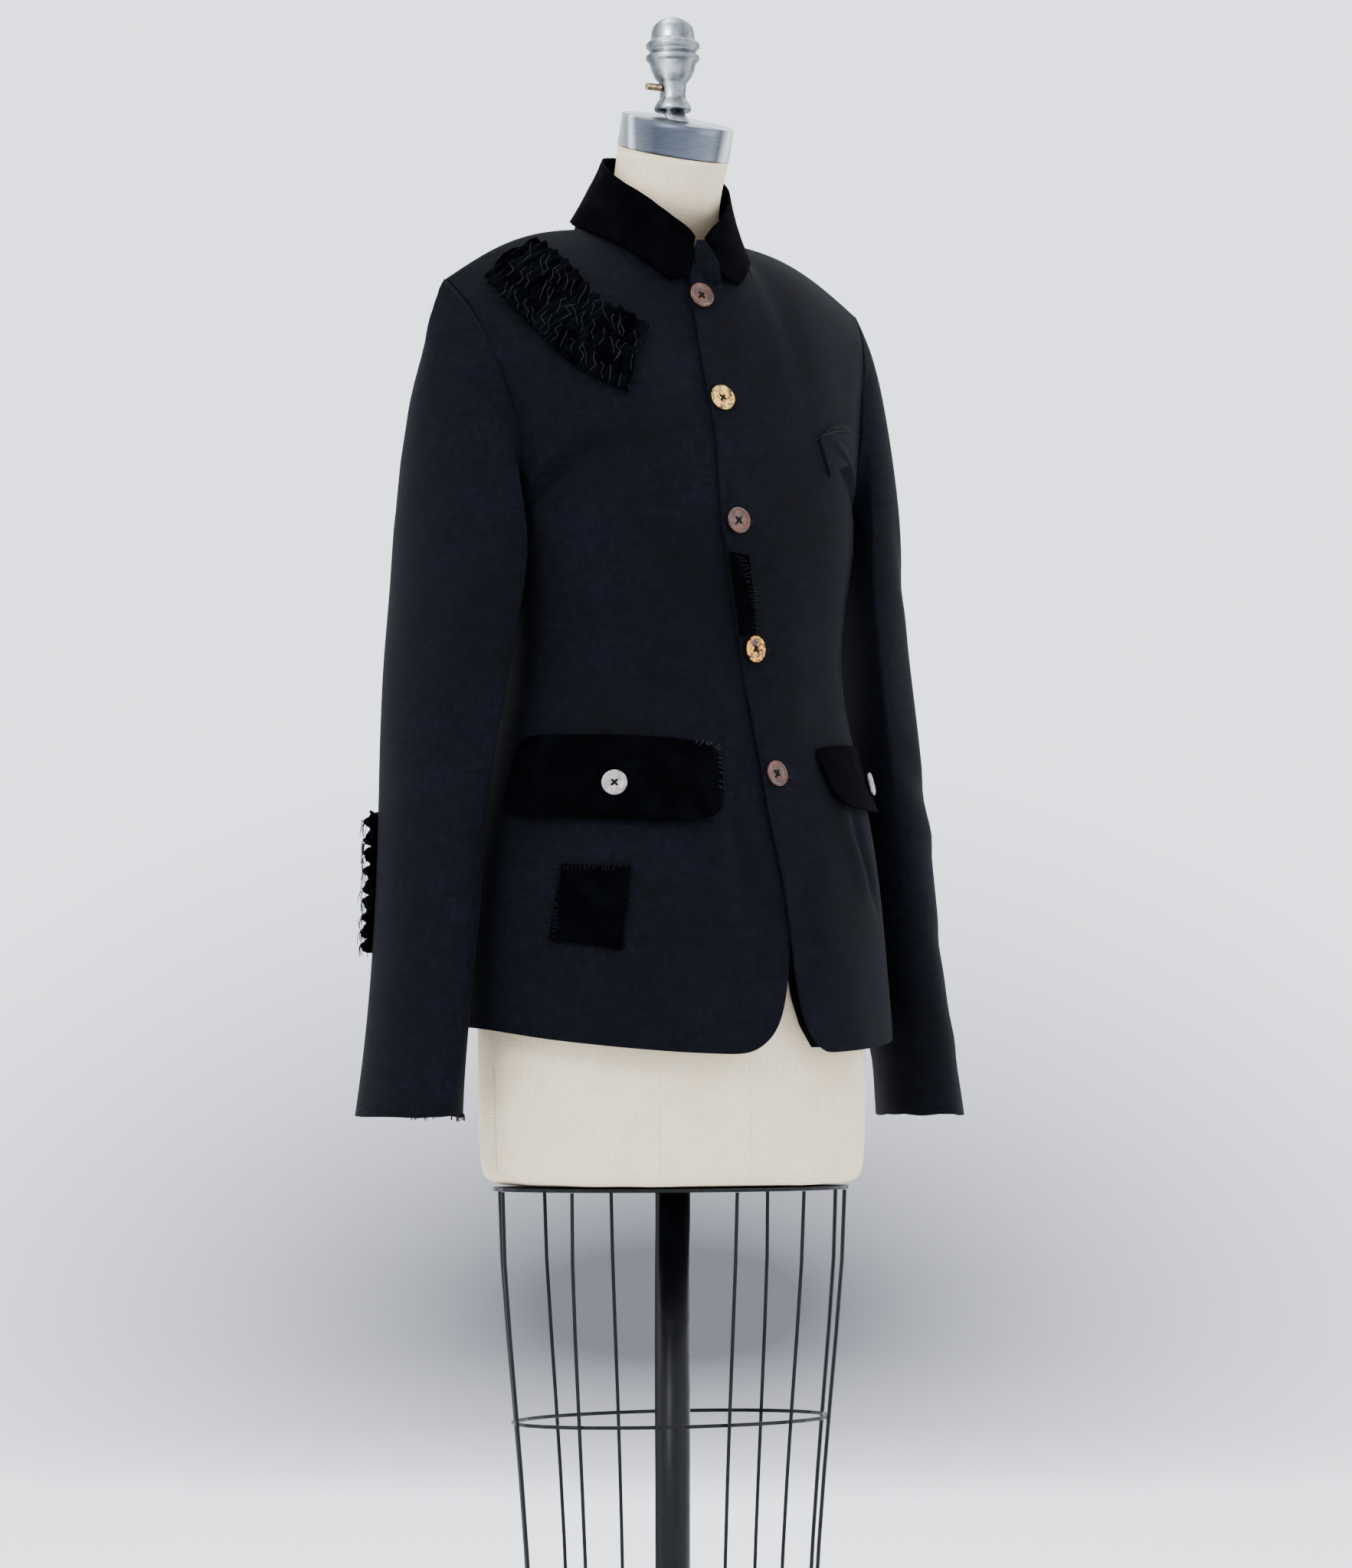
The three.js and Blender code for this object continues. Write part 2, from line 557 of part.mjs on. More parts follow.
function sleeve(side) {
  const downs = [...spread(0, 1, CAP_ROWS), ...spread(1, 2, TUBE_ROWS + 1).slice(1)];
  const turns = sequence(2 * ARMHOLE_COLUMNS, (i) => (i <= ARMHOLE_COLUMNS
    ? armholeTurn(i / ARMHOLE_COLUMNS) : 360 - armholeTurn(2 - i / ARMHOLE_COLUMNS)));
  const grid = turns.map((turn) => downs.map((down) => sleevePoint(turn, down, side)));
  const normals = gridNormals(grid, { round: true, flip: side < 0 });
  turns.forEach((turn, i) => {
    normals[i][0] = armholeNormal(turn, side);
  });
  return wall(grid, WALL, { round: true, flip: side < 0, normals });
}

// ---- collar ----
const COLLAR_COLUMNS = 27;
const COLLAR_ROWS = 5;
const COLLAR_BELLY = -1.5;   // the collar hollows a little between its seam and its upper edge
const collarEdge = (key) => new THREE.CatmullRomCurve3([
  ...COLLAR_RIBS.map(({ [key]: [x, y, z] }) => new THREE.Vector3(-x, y, z)),
  ...[...COLLAR_RIBS].reverse().slice(1).map(({ [key]: [x, y, z] }) => new THREE.Vector3(x, y, z)),
], false, 'centripetal');

function collar() {
  const low = collarEdge('low');
  const high = collarEdge('high');
  const grid = spread(0, 1, COLLAR_COLUMNS).map((around) => {
    const foot = low.getPoint(around);
    const top = high.getPoint(around);
    return spread(0, 1, COLLAR_ROWS).map((up) => {
      const point = foot.clone().lerp(top, up);
      const outward = new THREE.Vector3(foot.x, foot.y - 10, 0).normalize();
      return point.addScaledVector(outward, COLLAR_BELLY * Math.sin(Math.PI * up));
    });
  });
  return wall(grid, WALL);
}

// ---- what lies on the panels ----
// A patch over a four-cornered field of a front panel; `raise` adds to its lift.
function patch(side, corners, columns, rows, raise, rounding = 0) {
  const [lowIn, lowOut, highOut, highIn] = corners;
  const grid = spread(0, 1, columns).map((i) => spread(0, 1, rows).map((j) => {
    const corner = rounding * Math.abs((2 * i - 1) * (2 * j - 1)) ** 6;
    const wide = mix(i, 0.5, corner);
    const high = mix(j, 0.5, 2 * corner);
    const across = mix(mix(lowIn[0], lowOut[0], wide), mix(highIn[0], highOut[0], wide), high);
    const up = mix(mix(lowIn[1], lowOut[1], wide), mix(highIn[1], highOut[1], wide), high);
    return frontPoint(across, up, side, PATCH_LIFT + PATCH_WALL + raise(i, j));
  }));
  return wall(grid, PATCH_WALL, { flip: side < 0 });
}
const lieFlat = () => 0;

// Corners are [across, up]: lower and inner, lower and outer, upper and outer, upper
// and inner.
const FLAPS = {
  right: { side: -1, corners: [[0.15, 0.445], [0.84, 0.44], [0.82, 0.61], [0.14, 0.617]] },
  left: { side: 1, corners: [[0.275, 0.48], [0.90, 0.465], [0.86, 0.61], [0.21, 0.61]] },
};
const FLAP_FLARE = 7;        // the flap's lower edge stands off the jacket
const flapRaise = (i, j) => FLAP_FLARE * (1 - j) ** 1.5 * (0.75 + 0.25 * Math.cos(9 * i));
const FLAP_ROUNDING = 0.06;
const flap = ({ side, corners }) => patch(side, corners, 13, 7, flapRaise, FLAP_ROUNDING);

const SQUARE_FIELD = [[0.36, 0.19], [0.59, 0.20], [0.56, 0.35], [0.34, 0.355]];
const PLACKET_RAISE = 1.1;    // it rides on the thick placket
const PLACKET_FIELD = [[0.002, 0.825], [0.05, 0.835], [0.048, 0.985], [0.002, 0.99]];
const WELT_FIELD = [[0.38, 1.185], [0.595, 1.305], [0.575, 1.425], [0.335, 1.268]];

// Gathered band of velvet from the shoulder down to the chest: its two long edges by
// stations along it, from its lower end.
const RUCHING_EDGES = [
  { at: 0, lowAcross: 0.33, lowUp: 1.34, highAcross: 0.23, highUp: 1.60 },
  { at: 0.36, lowAcross: 0.455, lowUp: 1.45, highAcross: 0.34, highUp: 1.59 },
  { at: 0.68, lowAcross: 0.505, lowUp: 1.66, highAcross: 0.38, highUp: 1.74 },
  { at: 1, lowAcross: 0.50, lowUp: 1.88, highAcross: 0.40, highUp: 1.91 },
];
const RUCHING = { ridges: 12, height: 3.2, base: 3.0, wall: 1.2, columns: 6, rows: 43 };
function shoulderRuching() {
  const grid = spread(0, 1, RUCHING.columns).map((i) => spread(0, 1, RUCHING.rows).map((j) => {
    const edge = (column) => read(RUCHING_EDGES, 'at', j, column);
    const wave = Math.sin(2 * Math.PI * RUCHING.ridges * j + 1.4 * Math.sin(7 * i + 5 * j));
    return frontPoint(mix(edge('lowAcross'), edge('highAcross'), i),
      mix(edge('lowUp'), edge('highUp'), i), -1,
      PATCH_LIFT + RUCHING.wall + RUCHING.base + RUCHING.height * wave);
  }));
  return wall(grid, RUCHING.wall);
}

// Ruffled patch at the back of the wearer's right elbow.
const ELBOW = { from: 236, to: 318, top: 986, foot: 870, waves: 9, height: 4.2, base: 3.1 };
function elbowRuffle() {
  const downAt = (z) => 1 + (SLEEVE_TOP - z) / (SLEEVE_TOP - CUFF);
  const grid = spread(0, 1, 6).map((i) => spread(0, 1, 34).map((j) => {
    const wave = Math.sin(2 * Math.PI * ELBOW.waves * j + 1.1 * Math.sin(6 * i + 4 * j));
    return sleevePoint(mix(ELBOW.from, ELBOW.to, i), downAt(mix(ELBOW.foot, ELBOW.top, j)), -1,
      PATCH_LIFT + PATCH_WALL + ELBOW.base + ELBOW.height * wave);
  }));
  return wall(grid, 1.2, { flip: true });
}

// ---- buttons ----
const BUTTON_SIDES = 14;
function buttonShape(radius) {
  const profile = [[0, 0], [radius * 0.8, 0], [radius, BUTTON_THICK * 0.45],
    [radius * 0.96, BUTTON_THICK], [radius * 0.78, BUTTON_THICK], [radius * 0.62, BUTTON_THICK * 0.62],
    [0, BUTTON_THICK * 0.62]].map(([r, h]) => new THREE.Vector2(r, h));
  let solid = toSolid(new THREE.LatheGeometry(profile, BUTTON_SIDES));
  const holeSpacing = radius * 0.2;
  for (const [x, z] of [[1, 1], [1, -1], [-1, 1], [-1, -1]]) {
    const hole = new THREE.CylinderGeometry(radius * 0.085, radius * 0.085, 3 * BUTTON_THICK, 5);
    hole.translate(x * holeSpacing, 0, z * holeSpacing);
    solid = solid.subtract(toSolid(hole));
  }
  return fromSolid(solid);
}

// Sets a button on a front panel, its back `lift` clear of the cloth.
function buttonOn(side, across, up, radius, lift) {
  const geometry = buttonShape(radius);
  const at = frontPoint(across, up, side, lift);
  const normal = frontPoint(across, up, side, lift + 1).sub(at).normalize();
  const turn = new THREE.Quaternion().setFromUnitVectors(new THREE.Vector3(0, 1, 0), normal);
  geometry.applyQuaternion(turn);
  geometry.translate(at.x, at.y, at.z);
  return geometry;
}

// Front buttons from the neck down; each lifts clear of its cloth by its own amount.
const FRONT_BUTTONS = [
  { across: 0.02, up: 1.835, lift: 0.7 }, { across: 0.028, up: 1.49, lift: 0.3 },
  { across: 0.04, up: 1.09, lift: 0.5 }, { across: 0.045, up: 0.80, lift: 2.4 },
  { across: 0.043, up: 0.55, lift: 0.8 },
];
const FLAP_BUTTONS = [
  { name: 'right', side: -1, across: 0.40, up: 0.515, lift: 5.0 },
  { name: 'left', side: 1, across: 0.60, up: 0.53, lift: 6.1 },
];

// ---- dress form and stand ----
const FORM_SIDES = 28;
const NECK_LEAN = radians(17.5);
const CAP = { x: 46.5, y: 52.5, thick: 27.5, low: new THREE.Vector3(0, -0.6, 1544.5) };
const leanedRing = (centre, rx, ry, sides, lift) => sequence(sides, (i) => {
  const a = 2 * Math.PI * i / sides;
  const local = new THREE.Vector3(rx * Math.sin(a), -ry * Math.cos(a), lift);
  return local.applyAxisAngle(new THREE.Vector3(1, 0, 0), NECK_LEAN).add(centre);
});

function formTorso() {
  const rings = FORM_RINGS.map((row) => sequence(FORM_SIDES,
    (i) => ringPoint(FORM_RINGS, row.z, 360 * i / FORM_SIDES)));
  rings.push(leanedRing(CAP.low, CAP.x - 0.5, CAP.y - 0.5, FORM_SIDES, -SEAM_GAP));
  return loft(rings);
}

function neckCap() {
  const ring = (rx, ry, lift) => leanedRing(CAP.low, rx, ry, 32, lift);
  return loft([ring(CAP.x - 1, CAP.y - 1, 0), ring(CAP.x, CAP.y, 1), ring(CAP.x, CAP.y, CAP.thick - 1),
    ring(CAP.x - 1, CAP.y - 1, CAP.thick)]);
}

// The turned finial that locks the form on the pole: radius and height pairs.
const FINIAL_FOOT = 1580;
const FINIAL_PROFILE = [
  [0, 0], [15.5, 0], [15.8, 3], [14, 6.5], [11.2, 10.5], [10.9, 16], [11.6, 23.5], [15.4, 28.5],
  [18.2, 34], [19.6, 40.5], [22.8, 43.5], [22.8, 46.5], [19.6, 49], [19.6, 51], [22.8, 54],
  [22.8, 57], [18.6, 60.5], [18.4, 66], [16.6, 72], [12, 76.5], [5, 79.5], [0, 80],
];
const latheUp = (pairs, sides) => {
  const geometry = new THREE.LatheGeometry(pairs.map(([r, h]) => new THREE.Vector2(r, h)), sides);
  return geometry.rotateX(Math.PI / 2);
};
function finial() {
  return latheUp(FINIAL_PROFILE, 16).translate(0, 0, FINIAL_FOOT);
}
const SET_SCREW = { height: FINIAL_FOOT + 19, from: 12.2, length: 13, radius: 3 };
function setScrew() {
  const geometry = new THREE.CylinderGeometry(SET_SCREW.radius, SET_SCREW.radius, SET_SCREW.length, 10);
  geometry.rotateZ(Math.PI / 2);
  return geometry.translate(-SET_SCREW.from - SET_SCREW.length / 2, 0, SET_SCREW.height);
}
// Short hub between the leaning cap and the upright finial, its foot cut to the cap.
function finialHub() {
  const rings = [
    leanedRing(new THREE.Vector3(0, -9, 1570.8), 9.5, 10, 16, SEAM_GAP),
    sequence(16, (i) => new THREE.Vector3(9.5 * Math.sin(Math.PI * i / 8),
      -9.5 * Math.cos(Math.PI * i / 8), FINIAL_FOOT - SEAM_GAP)),
  ];
  return loft(rings);
}

const BASE_TOP = 24;
const BASE_PROFILE = [
  [0, 0], [BASE_RADIUS - 6, 0], [BASE_RADIUS, 5], [BASE_RADIUS - 2, 12], [BASE_RADIUS - 40, 18],
  [60, BASE_TOP], [26, 34], [24, 60], [0, 60],
];
const POLE_FOOT = 60 + SEAM_GAP;
const PLATE = { half: 160, deep: 105, thick: 3, top: 677.5 };

// Cage wires follow the cage's ellipse at equal steps round it.
function cageAngle(share) {
  const steps = 720;
  const { half, deep } = CAGE_RINGS[0];
  const lengths = [0];
  for (let i = 1; i <= steps; i += 1) {
    const a = 2 * Math.PI * (i - 0.5) / steps;
    lengths.push(lengths[i - 1] + Math.hypot(half * Math.cos(a), deep * Math.sin(a)));
  }
  const wanted = share * lengths[steps];
  return 2 * Math.PI * lengths.findIndex((length) => length >= wanted) / steps;
}
const CAGE_UP = [...CAGE_RINGS].reverse();
const cagePoint = (angle, z, inset = 0) => new THREE.Vector3(
  (read(CAGE_UP, 'z', z, 'half') - inset) * Math.sin(angle),
  -(read(CAGE_UP, 'z', z, 'deep') - inset) * Math.cos(angle), z);

function tubeThrough(points, radius, sides, closed, steps) {
  const shape = new THREE.Shape(sequence(sides, (i) => new THREE.Vector2(
    radius * Math.cos(2 * Math.PI * i / sides), radius * Math.sin(2 * Math.PI * i / sides))));
  const path = new THREE.CatmullRomCurve3(points, closed, 'centripetal');
  return new THREE.ExtrudeGeometry(shape, { steps, bevelEnabled: false, extrudePath: path });
}

const HOOP_HEIGHTS = { middle: 485, bottom: CAGE_FOOT };
const HOOP_INSET = 2 * WIRE_RADIUS + SEAM_GAP;
function cageWire(angle) {
  const heights = spread(PLATE.top - PLATE.thick - SEAM_GAP, CAGE_FOOT - 6, 8);
  return tubeThrough(heights.map((z) => cagePoint(angle, z)), WIRE_RADIUS, 6, false, 8);
}
function cageHoop(height) {
  const count = 30;
  const ring = (radiusIn, lift) => sequence(count, (i) => cagePoint(2 * Math.PI * i / count,
    height, HOOP_INSET + radiusIn).setZ(height + lift));
  const section = sequence(6, (k) => ring(WIRE_RADIUS * Math.cos(Math.PI * k / 3),
    WIRE_RADIUS * Math.sin(Math.PI * k / 3)));
  const positions = section.flat().flatMap((p) => [p.x, p.y, p.z]);
  const index = [];
  for (let k = 0; k < 6; k += 1) {
    for (let i = 0; i < count; i += 1) {
      const next = (i + 1) % count;
      const [a, b, c, d] = [k * count + i, k * count + next, ((k + 1) % 6) * count + next,
        ((k + 1) % 6) * count + i];
      index.push(a, c, b, a, d, c);
    }
  }
  return meshGeometry(positions, index);
}
function cagePlate() {
  const ring = (inset, z) => sequence(36, (i) => new THREE.Vector3(
    (PLATE.half - inset) * Math.sin(Math.PI * i / 18), -(PLATE.deep - inset) * Math.cos(Math.PI * i / 18), z));
  return loft([ring(0, PLATE.top - PLATE.thick), ring(0, PLATE.top)]);
}

// ---- finishes ----
const finish = (color, roughness, metalness = 0) => new THREE.MeshStandardMaterial(
  { color, roughness, metalness, side: THREE.DoubleSide });
const WOOL = finish(0x171c27, 0.9);
const VELVET = finish(0x05070b, 0.95);
const CANVAS = finish(0xddd6c8, 0.85);
const BLACK_STEEL = finish(0x0d0e12, 0.45, 0.5);
const ALUMINIUM = finish(0xa9b1b8, 0.35, 1);
const BRASS = finish(0xb08a4a, 0.4, 1);
const COPPER_BUTTON = finish(0x8a5a48, 0.3);
const GOLD_BUTTON = finish(0xc9a75a, 0.3);
const SHELL_BUTTON = finish(0xb9aeb4, 0.25);

const jacket = new THREE.Group();
function add(name, geometry, material) {
  const mesh = new THREE.Mesh(geometry, material);
  mesh.name = name;
  jacket.add(mesh);
}

add('front_right', panelWall(-1, true), WOOL);
add('front_left', panelWall(1, true), WOOL);
add('back_right', panelWall(-1, false), WOOL);
add('back_left', panelWall(1, false), WOOL);
add('sleeve_right', sleeve(-1), WOOL);
add('sleeve_left', sleeve(1), WOOL);
add('collar', collar(), VELVET);
add('flap_right', flap(FLAPS.right), VELVET);
add('flap_left', flap(FLAPS.left), VELVET);
add('breast_welt', patch(1, WELT_FIELD, 6, 3, lieFlat), WOOL);
add('placket_patch', patch(1, PLACKET_FIELD, 4, 8, () => PLACKET_RAISE), VELVET);
add('square_patch', patch(-1, SQUARE_FIELD, 6, 6, lieFlat), VELVET);
add('shoulder_ruching', shoulderRuching(), VELVET);
add('elbow_ruffle', elbowRuffle(), VELVET);
FRONT_BUTTONS.forEach(({ across, up, lift }, i) => {
  const material = i === 1 || i === 3 ? GOLD_BUTTON : COPPER_BUTTON;
  add(`button_${i + 1}`, buttonOn(1, across, up, BUTTON_RADIUS, lift), material);
});
for (const { name, side, across, up, lift } of FLAP_BUTTONS) {
  add(`flap_button_${name}`, buttonOn(side, across, up, BUTTON_RADIUS, lift), SHELL_BUTTON);
}
add('form_torso', formTorso(), CANVAS);
add('neck_cap', neckCap(), ALUMINIUM);
add('finial_hub', finialHub(), ALUMINIUM);
add('finial', finial(), ALUMINIUM);
add('set_screw', setScrew(), BRASS);
add('cage_plate', cagePlate(), BLACK_STEEL);
const poleLength = PLATE.top - PLATE.thick - SEAM_GAP - POLE_FOOT;
add('pole', new THREE.CylinderGeometry(POLE_RADIUS, POLE_RADIUS, poleLength, 20)
  .rotateX(Math.PI / 2).translate(0, 0, POLE_FOOT + poleLength / 2), BLACK_STEEL);
for (let i = 0; i < CAGE_WIRES; i += 1) {
  add(`cage_wire_${i + 1}`, cageWire(cageAngle(i / CAGE_WIRES)), BLACK_STEEL);
}
add('cage_hoop_middle', cageHoop(HOOP_HEIGHTS.middle), BLACK_STEEL);
add('cage_hoop_bottom', cageHoop(HOOP_HEIGHTS.bottom), BLACK_STEEL);
add('base', latheUp(BASE_PROFILE, 30), BLACK_STEEL);

export default jacket;
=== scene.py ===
"""A buttoned wool jacket with velvet trim, on a canvas dress form with a wire skirt cage.

Metres, +Z up, front of the jacket to -Y, wearer's right to -X, floor at z = 0.
"""
import math
import random

import bmesh
import bpy
from mathutils import Matrix, Vector, noise
from mathutils.bvhtree import BVHTree


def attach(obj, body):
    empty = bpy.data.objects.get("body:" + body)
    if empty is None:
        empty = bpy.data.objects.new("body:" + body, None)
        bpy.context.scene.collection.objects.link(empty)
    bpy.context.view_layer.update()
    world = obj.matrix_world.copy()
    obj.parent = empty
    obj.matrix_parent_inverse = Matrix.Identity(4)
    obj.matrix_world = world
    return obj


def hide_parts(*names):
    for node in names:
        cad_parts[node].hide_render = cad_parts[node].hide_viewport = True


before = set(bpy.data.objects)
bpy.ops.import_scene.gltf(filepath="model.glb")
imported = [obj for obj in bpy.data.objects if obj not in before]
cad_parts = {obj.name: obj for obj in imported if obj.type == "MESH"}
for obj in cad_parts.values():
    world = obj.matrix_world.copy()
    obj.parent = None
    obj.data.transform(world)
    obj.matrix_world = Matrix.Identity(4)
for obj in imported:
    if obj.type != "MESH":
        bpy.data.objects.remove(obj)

MM = 0.001
IMAGE_WIDTH, IMAGE_HEIGHT = 1765, 2047
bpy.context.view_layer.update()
chance = random.Random(14)


# ---- materials ----

def linear(hex_colour):
    """An sRGB hex colour as linear red, green, blue and full alpha."""
    parts = [int(hex_colour[i:i + 2], 16) / 255 for i in (1, 3, 5)]
    return tuple(p / 12.92 if p <= 0.04045 else ((p + 0.055) / 1.055) ** 2.4 for p in parts) + (1.0,)


def add(tree, kind, inputs=None, **settings):
    """Adds one node: settings are its own values, inputs its sockets' values or links."""
    made = tree.nodes.new(kind)
    for name, value in settings.items():
        setattr(made, name, value)
    for name, value in (inputs or {}).items():
        if isinstance(value, bpy.types.NodeSocket):
            tree.links.new(value, made.inputs[name])
        else:
            made.inputs[name].default_value = value
    return made


def start(name, **sockets):
    """A new material, its shader's plain sockets set; returns the parts used to build it."""
    made = bpy.data.materials.new(name)
    made.use_nodes = True
    tree = made.node_tree
    shader = tree.nodes["Principled BSDF"]
    for socket, value in sockets.items():
        shader.inputs[socket.replace("_", " ")].default_value = value
    place = add(tree, "ShaderNodeTexCoord").outputs["Object"]
    return made, tree, shader, place


def grains(tree, place, size_mm, detail=3.0, rough=0.6):
    """Noise whose grains are about size_mm across."""
    return add(tree, "ShaderNodeTexNoise", {
        "Vector": place, "Scale": 1 / (size_mm * MM), "Detail": detail, "Roughness": rough,
    }).outputs["Fac"]


def ramp(tree, factor, low, high, colours):
    """Colours between two places of a factor."""
    made = add(tree, "ShaderNodeValToRGB", {"Fac": factor})
    made.color_ramp.elements[0].position = low
    made.color_ramp.elements[1].position = high
    made.color_ramp.elements[0].color = linear(colours[0])
    made.color_ramp.elements[1].color = linear(colours[1])
    return made.outputs["Color"]


def range_of(tree, factor, low, high, to_low, to_high):
    """A factor's range from low to high, stretched to another range."""
    return add(tree, "ShaderNodeMapRange", {
        "Value": factor, "From Min": low, "From Max": high, "To Min": to_low, "To Max": to_high,
    }).outputs["Result"]


def mixed(tree, factor, one, other, blend="MIX"):
    """Two colours, each a link or a hex colour, mixed by a factor."""
    made = add(tree, "ShaderNodeMix", data_type="RGBA", blend_type=blend)
    for index, value in ((0, factor), (6, one), (7, other)):
        if isinstance(value, bpy.types.NodeSocket):
            tree.links.new(value, made.inputs[index])
        elif index:
            made.inputs[index].default_value = linear(value)
        else:
            made.inputs[index].default_value = value
    return made.outputs[2]


def bumped(tree, shader, height, depth_mm, strength, under=None):
    """Relief on a shader, over the relief given as under; returns the new one."""
    inputs = {"Height": height, "Distance": depth_mm * MM, "Strength": strength}
    if under is not None:
        inputs["Normal"] = under
    normal = add(tree, "ShaderNodeBump", inputs).outputs["Normal"]
    tree.links.new(normal, shader.inputs["Normal"])
    return normal


def milled_wool():
    """Milled wool melton, piece dyed: the weave is felted over with a short nap, so the eye
    gets a matt dark blue-grey with faint cloudiness, thicker slubs and pale single hairs."""
    made, tree, shader, place = start("milled_wool_melton", Roughness=0.86, Sheen_Weight=0.015,
                                      Sheen_Roughness=0.4, Specular_IOR_Level=0.07)
    shader.inputs["Sheen Tint"].default_value = linear("#8a8d96")
    nap = grains(tree, place, 1.7, 5.0, 0.7)
    cloud = grains(tree, place, 70, 2.0)
    ground = ramp(tree, cloud, 0.3, 0.7, ("#040711", "#080d1b"))
    fibre = ramp(tree, nap, 0.36, 0.66, ("#50545e", "#ffffff"))
    colour = mixed(tree, 0.7, ground, fibre, "MULTIPLY")
    # Slubs: thicker threads 3 mm wide and some 12 mm long, upright and level.
    for longest in ((1.0, 1.0, 0.25), (0.25, 0.25, 1.0)):
        drawn = add(tree, "ShaderNodeMapping", {"Vector": place, "Scale": longest})
        slub = ramp(tree, grains(tree, drawn.outputs["Vector"], 3.0, 2.0, 0.6), 0.36, 0.64,
                    ("#8d9098", "#ffffff"))
        colour = mixed(tree, 0.85, colour, slub, "MULTIPLY")
    hairs = add(tree, "ShaderNodeTexVoronoi", {"Vector": place, "Scale": 1 / (4.2 * MM),
                                               "Randomness": 1.0}).outputs["Distance"]
    lint = range_of(tree, hairs, 0.03, 0.07, 0.08, 0.0)
    tree.links.new(mixed(tree, lint, colour, "#6b6c70"), shader.inputs["Base Color"])
    # Twill with ribs some 6 mm apart, far coarser than the real 0.6 mm, so that it shows at all.
    twill = add(tree, "ShaderNodeTexWave", {
        "Vector": place, "Scale": 1 / (14 * MM), "Distortion": 2.2, "Detail": 2.0, "Detail Scale": 3.0,
    }, bands_direction="DIAGONAL").outputs["Fac"]
    under = bumped(tree, shader, twill, 0.16, 0.35)
    bumped(tree, shader, nap, 0.6, 0.7, under)
    return made


def silk_velvet(name="silk_velvet", light="#020306", dark="#000001", sheen=0.006):
    """Black silk velvet, its pile crushed by wear: almost no light from the front and a cool
    bloom where the pile leans away."""
    made, tree, shader, place = start(name, Roughness=0.92, Sheen_Weight=sheen,
                                      Sheen_Roughness=0.32, Specular_IOR_Level=0.02)
    shader.inputs["Sheen Tint"].default_value = linear("#59606e")
    crush = grains(tree, place, 22, 3.0, 0.55)
    pile = grains(tree, place, 1.2, 4.0, 0.75)
    tree.links.new(ramp(tree, crush, 0.42, 0.72, (dark, light)), shader.inputs["Base Color"])
    under = bumped(tree, shader, crush, 1.6, 0.35)
    bumped(tree, shader, pile, 0.6, 0.6, under)
    return made


def cotton_canvas():
    """Unbleached cotton canvas glued over the form: a plain weave of thick threads, a little
    yellowed and scuffed."""
    made, tree, shader, place = start("unbleached_cotton_canvas", Roughness=0.9,
                                      Specular_IOR_Level=0.2)
    # Threads some 3 mm apart, about four times the real spacing, so that the weave shows.
    around, up = (add(tree, "ShaderNodeTexWave", {
        "Vector": place, "Scale": 1 / (10 * MM), "Distortion": 0.6, "Detail": 1.0,
    }, bands_direction=direction).outputs["Fac"] for direction in "ZX")
    weave = add(tree, "ShaderNodeMath", {0: around, 1: up}, operation="MULTIPLY").outputs[0]
    stain = grains(tree, place, 60, 4.0, 0.6)
    slub = grains(tree, place, 3.0, 3.0, 0.7)
    ground = ramp(tree, stain, 0.35, 0.75, ("#d8c8a8", "#e5d7b9"))
    thread = ramp(tree, slub, 0.3, 0.7, ("#e9e6df", "#ffffff"))
    colour = mixed(tree, 0.8, ground, thread, "MULTIPLY")
    # Painted shade: the hollows of the weave, between the threads, are darkened a little.
    tree.links.new(mixed(tree, range_of(tree, weave, 0.0, 1.0, 0.10, 0.0), colour, "#a89b84"),
                   shader.inputs["Base Color"])
    under = bumped(tree, shader, weave, 0.25, 0.35)
    bumped(tree, shader, slub, 0.3, 0.25, under)
    return made


def painted_reflection_bands(tree, place, stops):
    """Painted reflections: light and dark shades by the direction round Z, as shares of a turn."""
    turn = add(tree, "ShaderNodeTexGradient", {"Vector": place}, gradient_type="RADIAL")
    reflection_bands = add(tree, "ShaderNodeValToRGB", {"Fac": turn.outputs["Fac"]})
    for share, shade in stops:
        reflection_bands.color_ramp.elements.new(share).color = linear(shade)
    reflection_bands.color_ramp.elements[0].color = reflection_bands.color_ramp.elements[-1].color = linear(stops[0][1])
    return reflection_bands.outputs["Color"]


def brushed_aluminium():
    """Aluminium sheet brushed round the neck: long fine scratches that smear the light
    sideways, with duller handled patches, and painted reflections in bands up the neck."""
    made, tree, shader, place = start("brushed_aluminium", Metallic=1.0, Anisotropic=0.55)
    drawn = add(tree, "ShaderNodeMapping", {"Vector": place, "Scale": (1.0, 1.0, 26.0)})
    drawn.inputs["Rotation"].default_value = (math.radians(-17.5), 0, 0)
    scratches = grains(tree, drawn.outputs["Vector"], 14, 4.0, 0.75)
    patches = grains(tree, place, 25, 3.0)
    # Painted reflections: light and dark bands up the neck, set by the direction round it.
    reflection_bands = painted_reflection_bands(tree, place, (
        (0.012, "#7c8287"), (0.03, "#e4e6e8"), (0.055, "#6b7178"), (0.12, "#474d57"),
        (0.20, "#545a64"), (0.27, "#6e747b"), (0.295, "#50565d"), (0.33, "#dfe1e3"),
        (0.37, "#9da2a7"), (0.5, "#c3c8cc"), (0.75, "#8d9399"), (0.9, "#b5babe"), (0.985, "#868c92")))
    metal = ramp(tree, scratches, 0.3, 0.7, ("#bcc1c5", "#ffffff"))
    tree.links.new(mixed(tree, 0.85, reflection_bands, metal, "MULTIPLY"), shader.inputs["Base Color"])
    tree.links.new(range_of(tree, patches, 0.35, 0.7, 0.26, 0.42), shader.inputs["Roughness"])
    bumped(tree, shader, scratches, 0.05, 0.3)
    return made


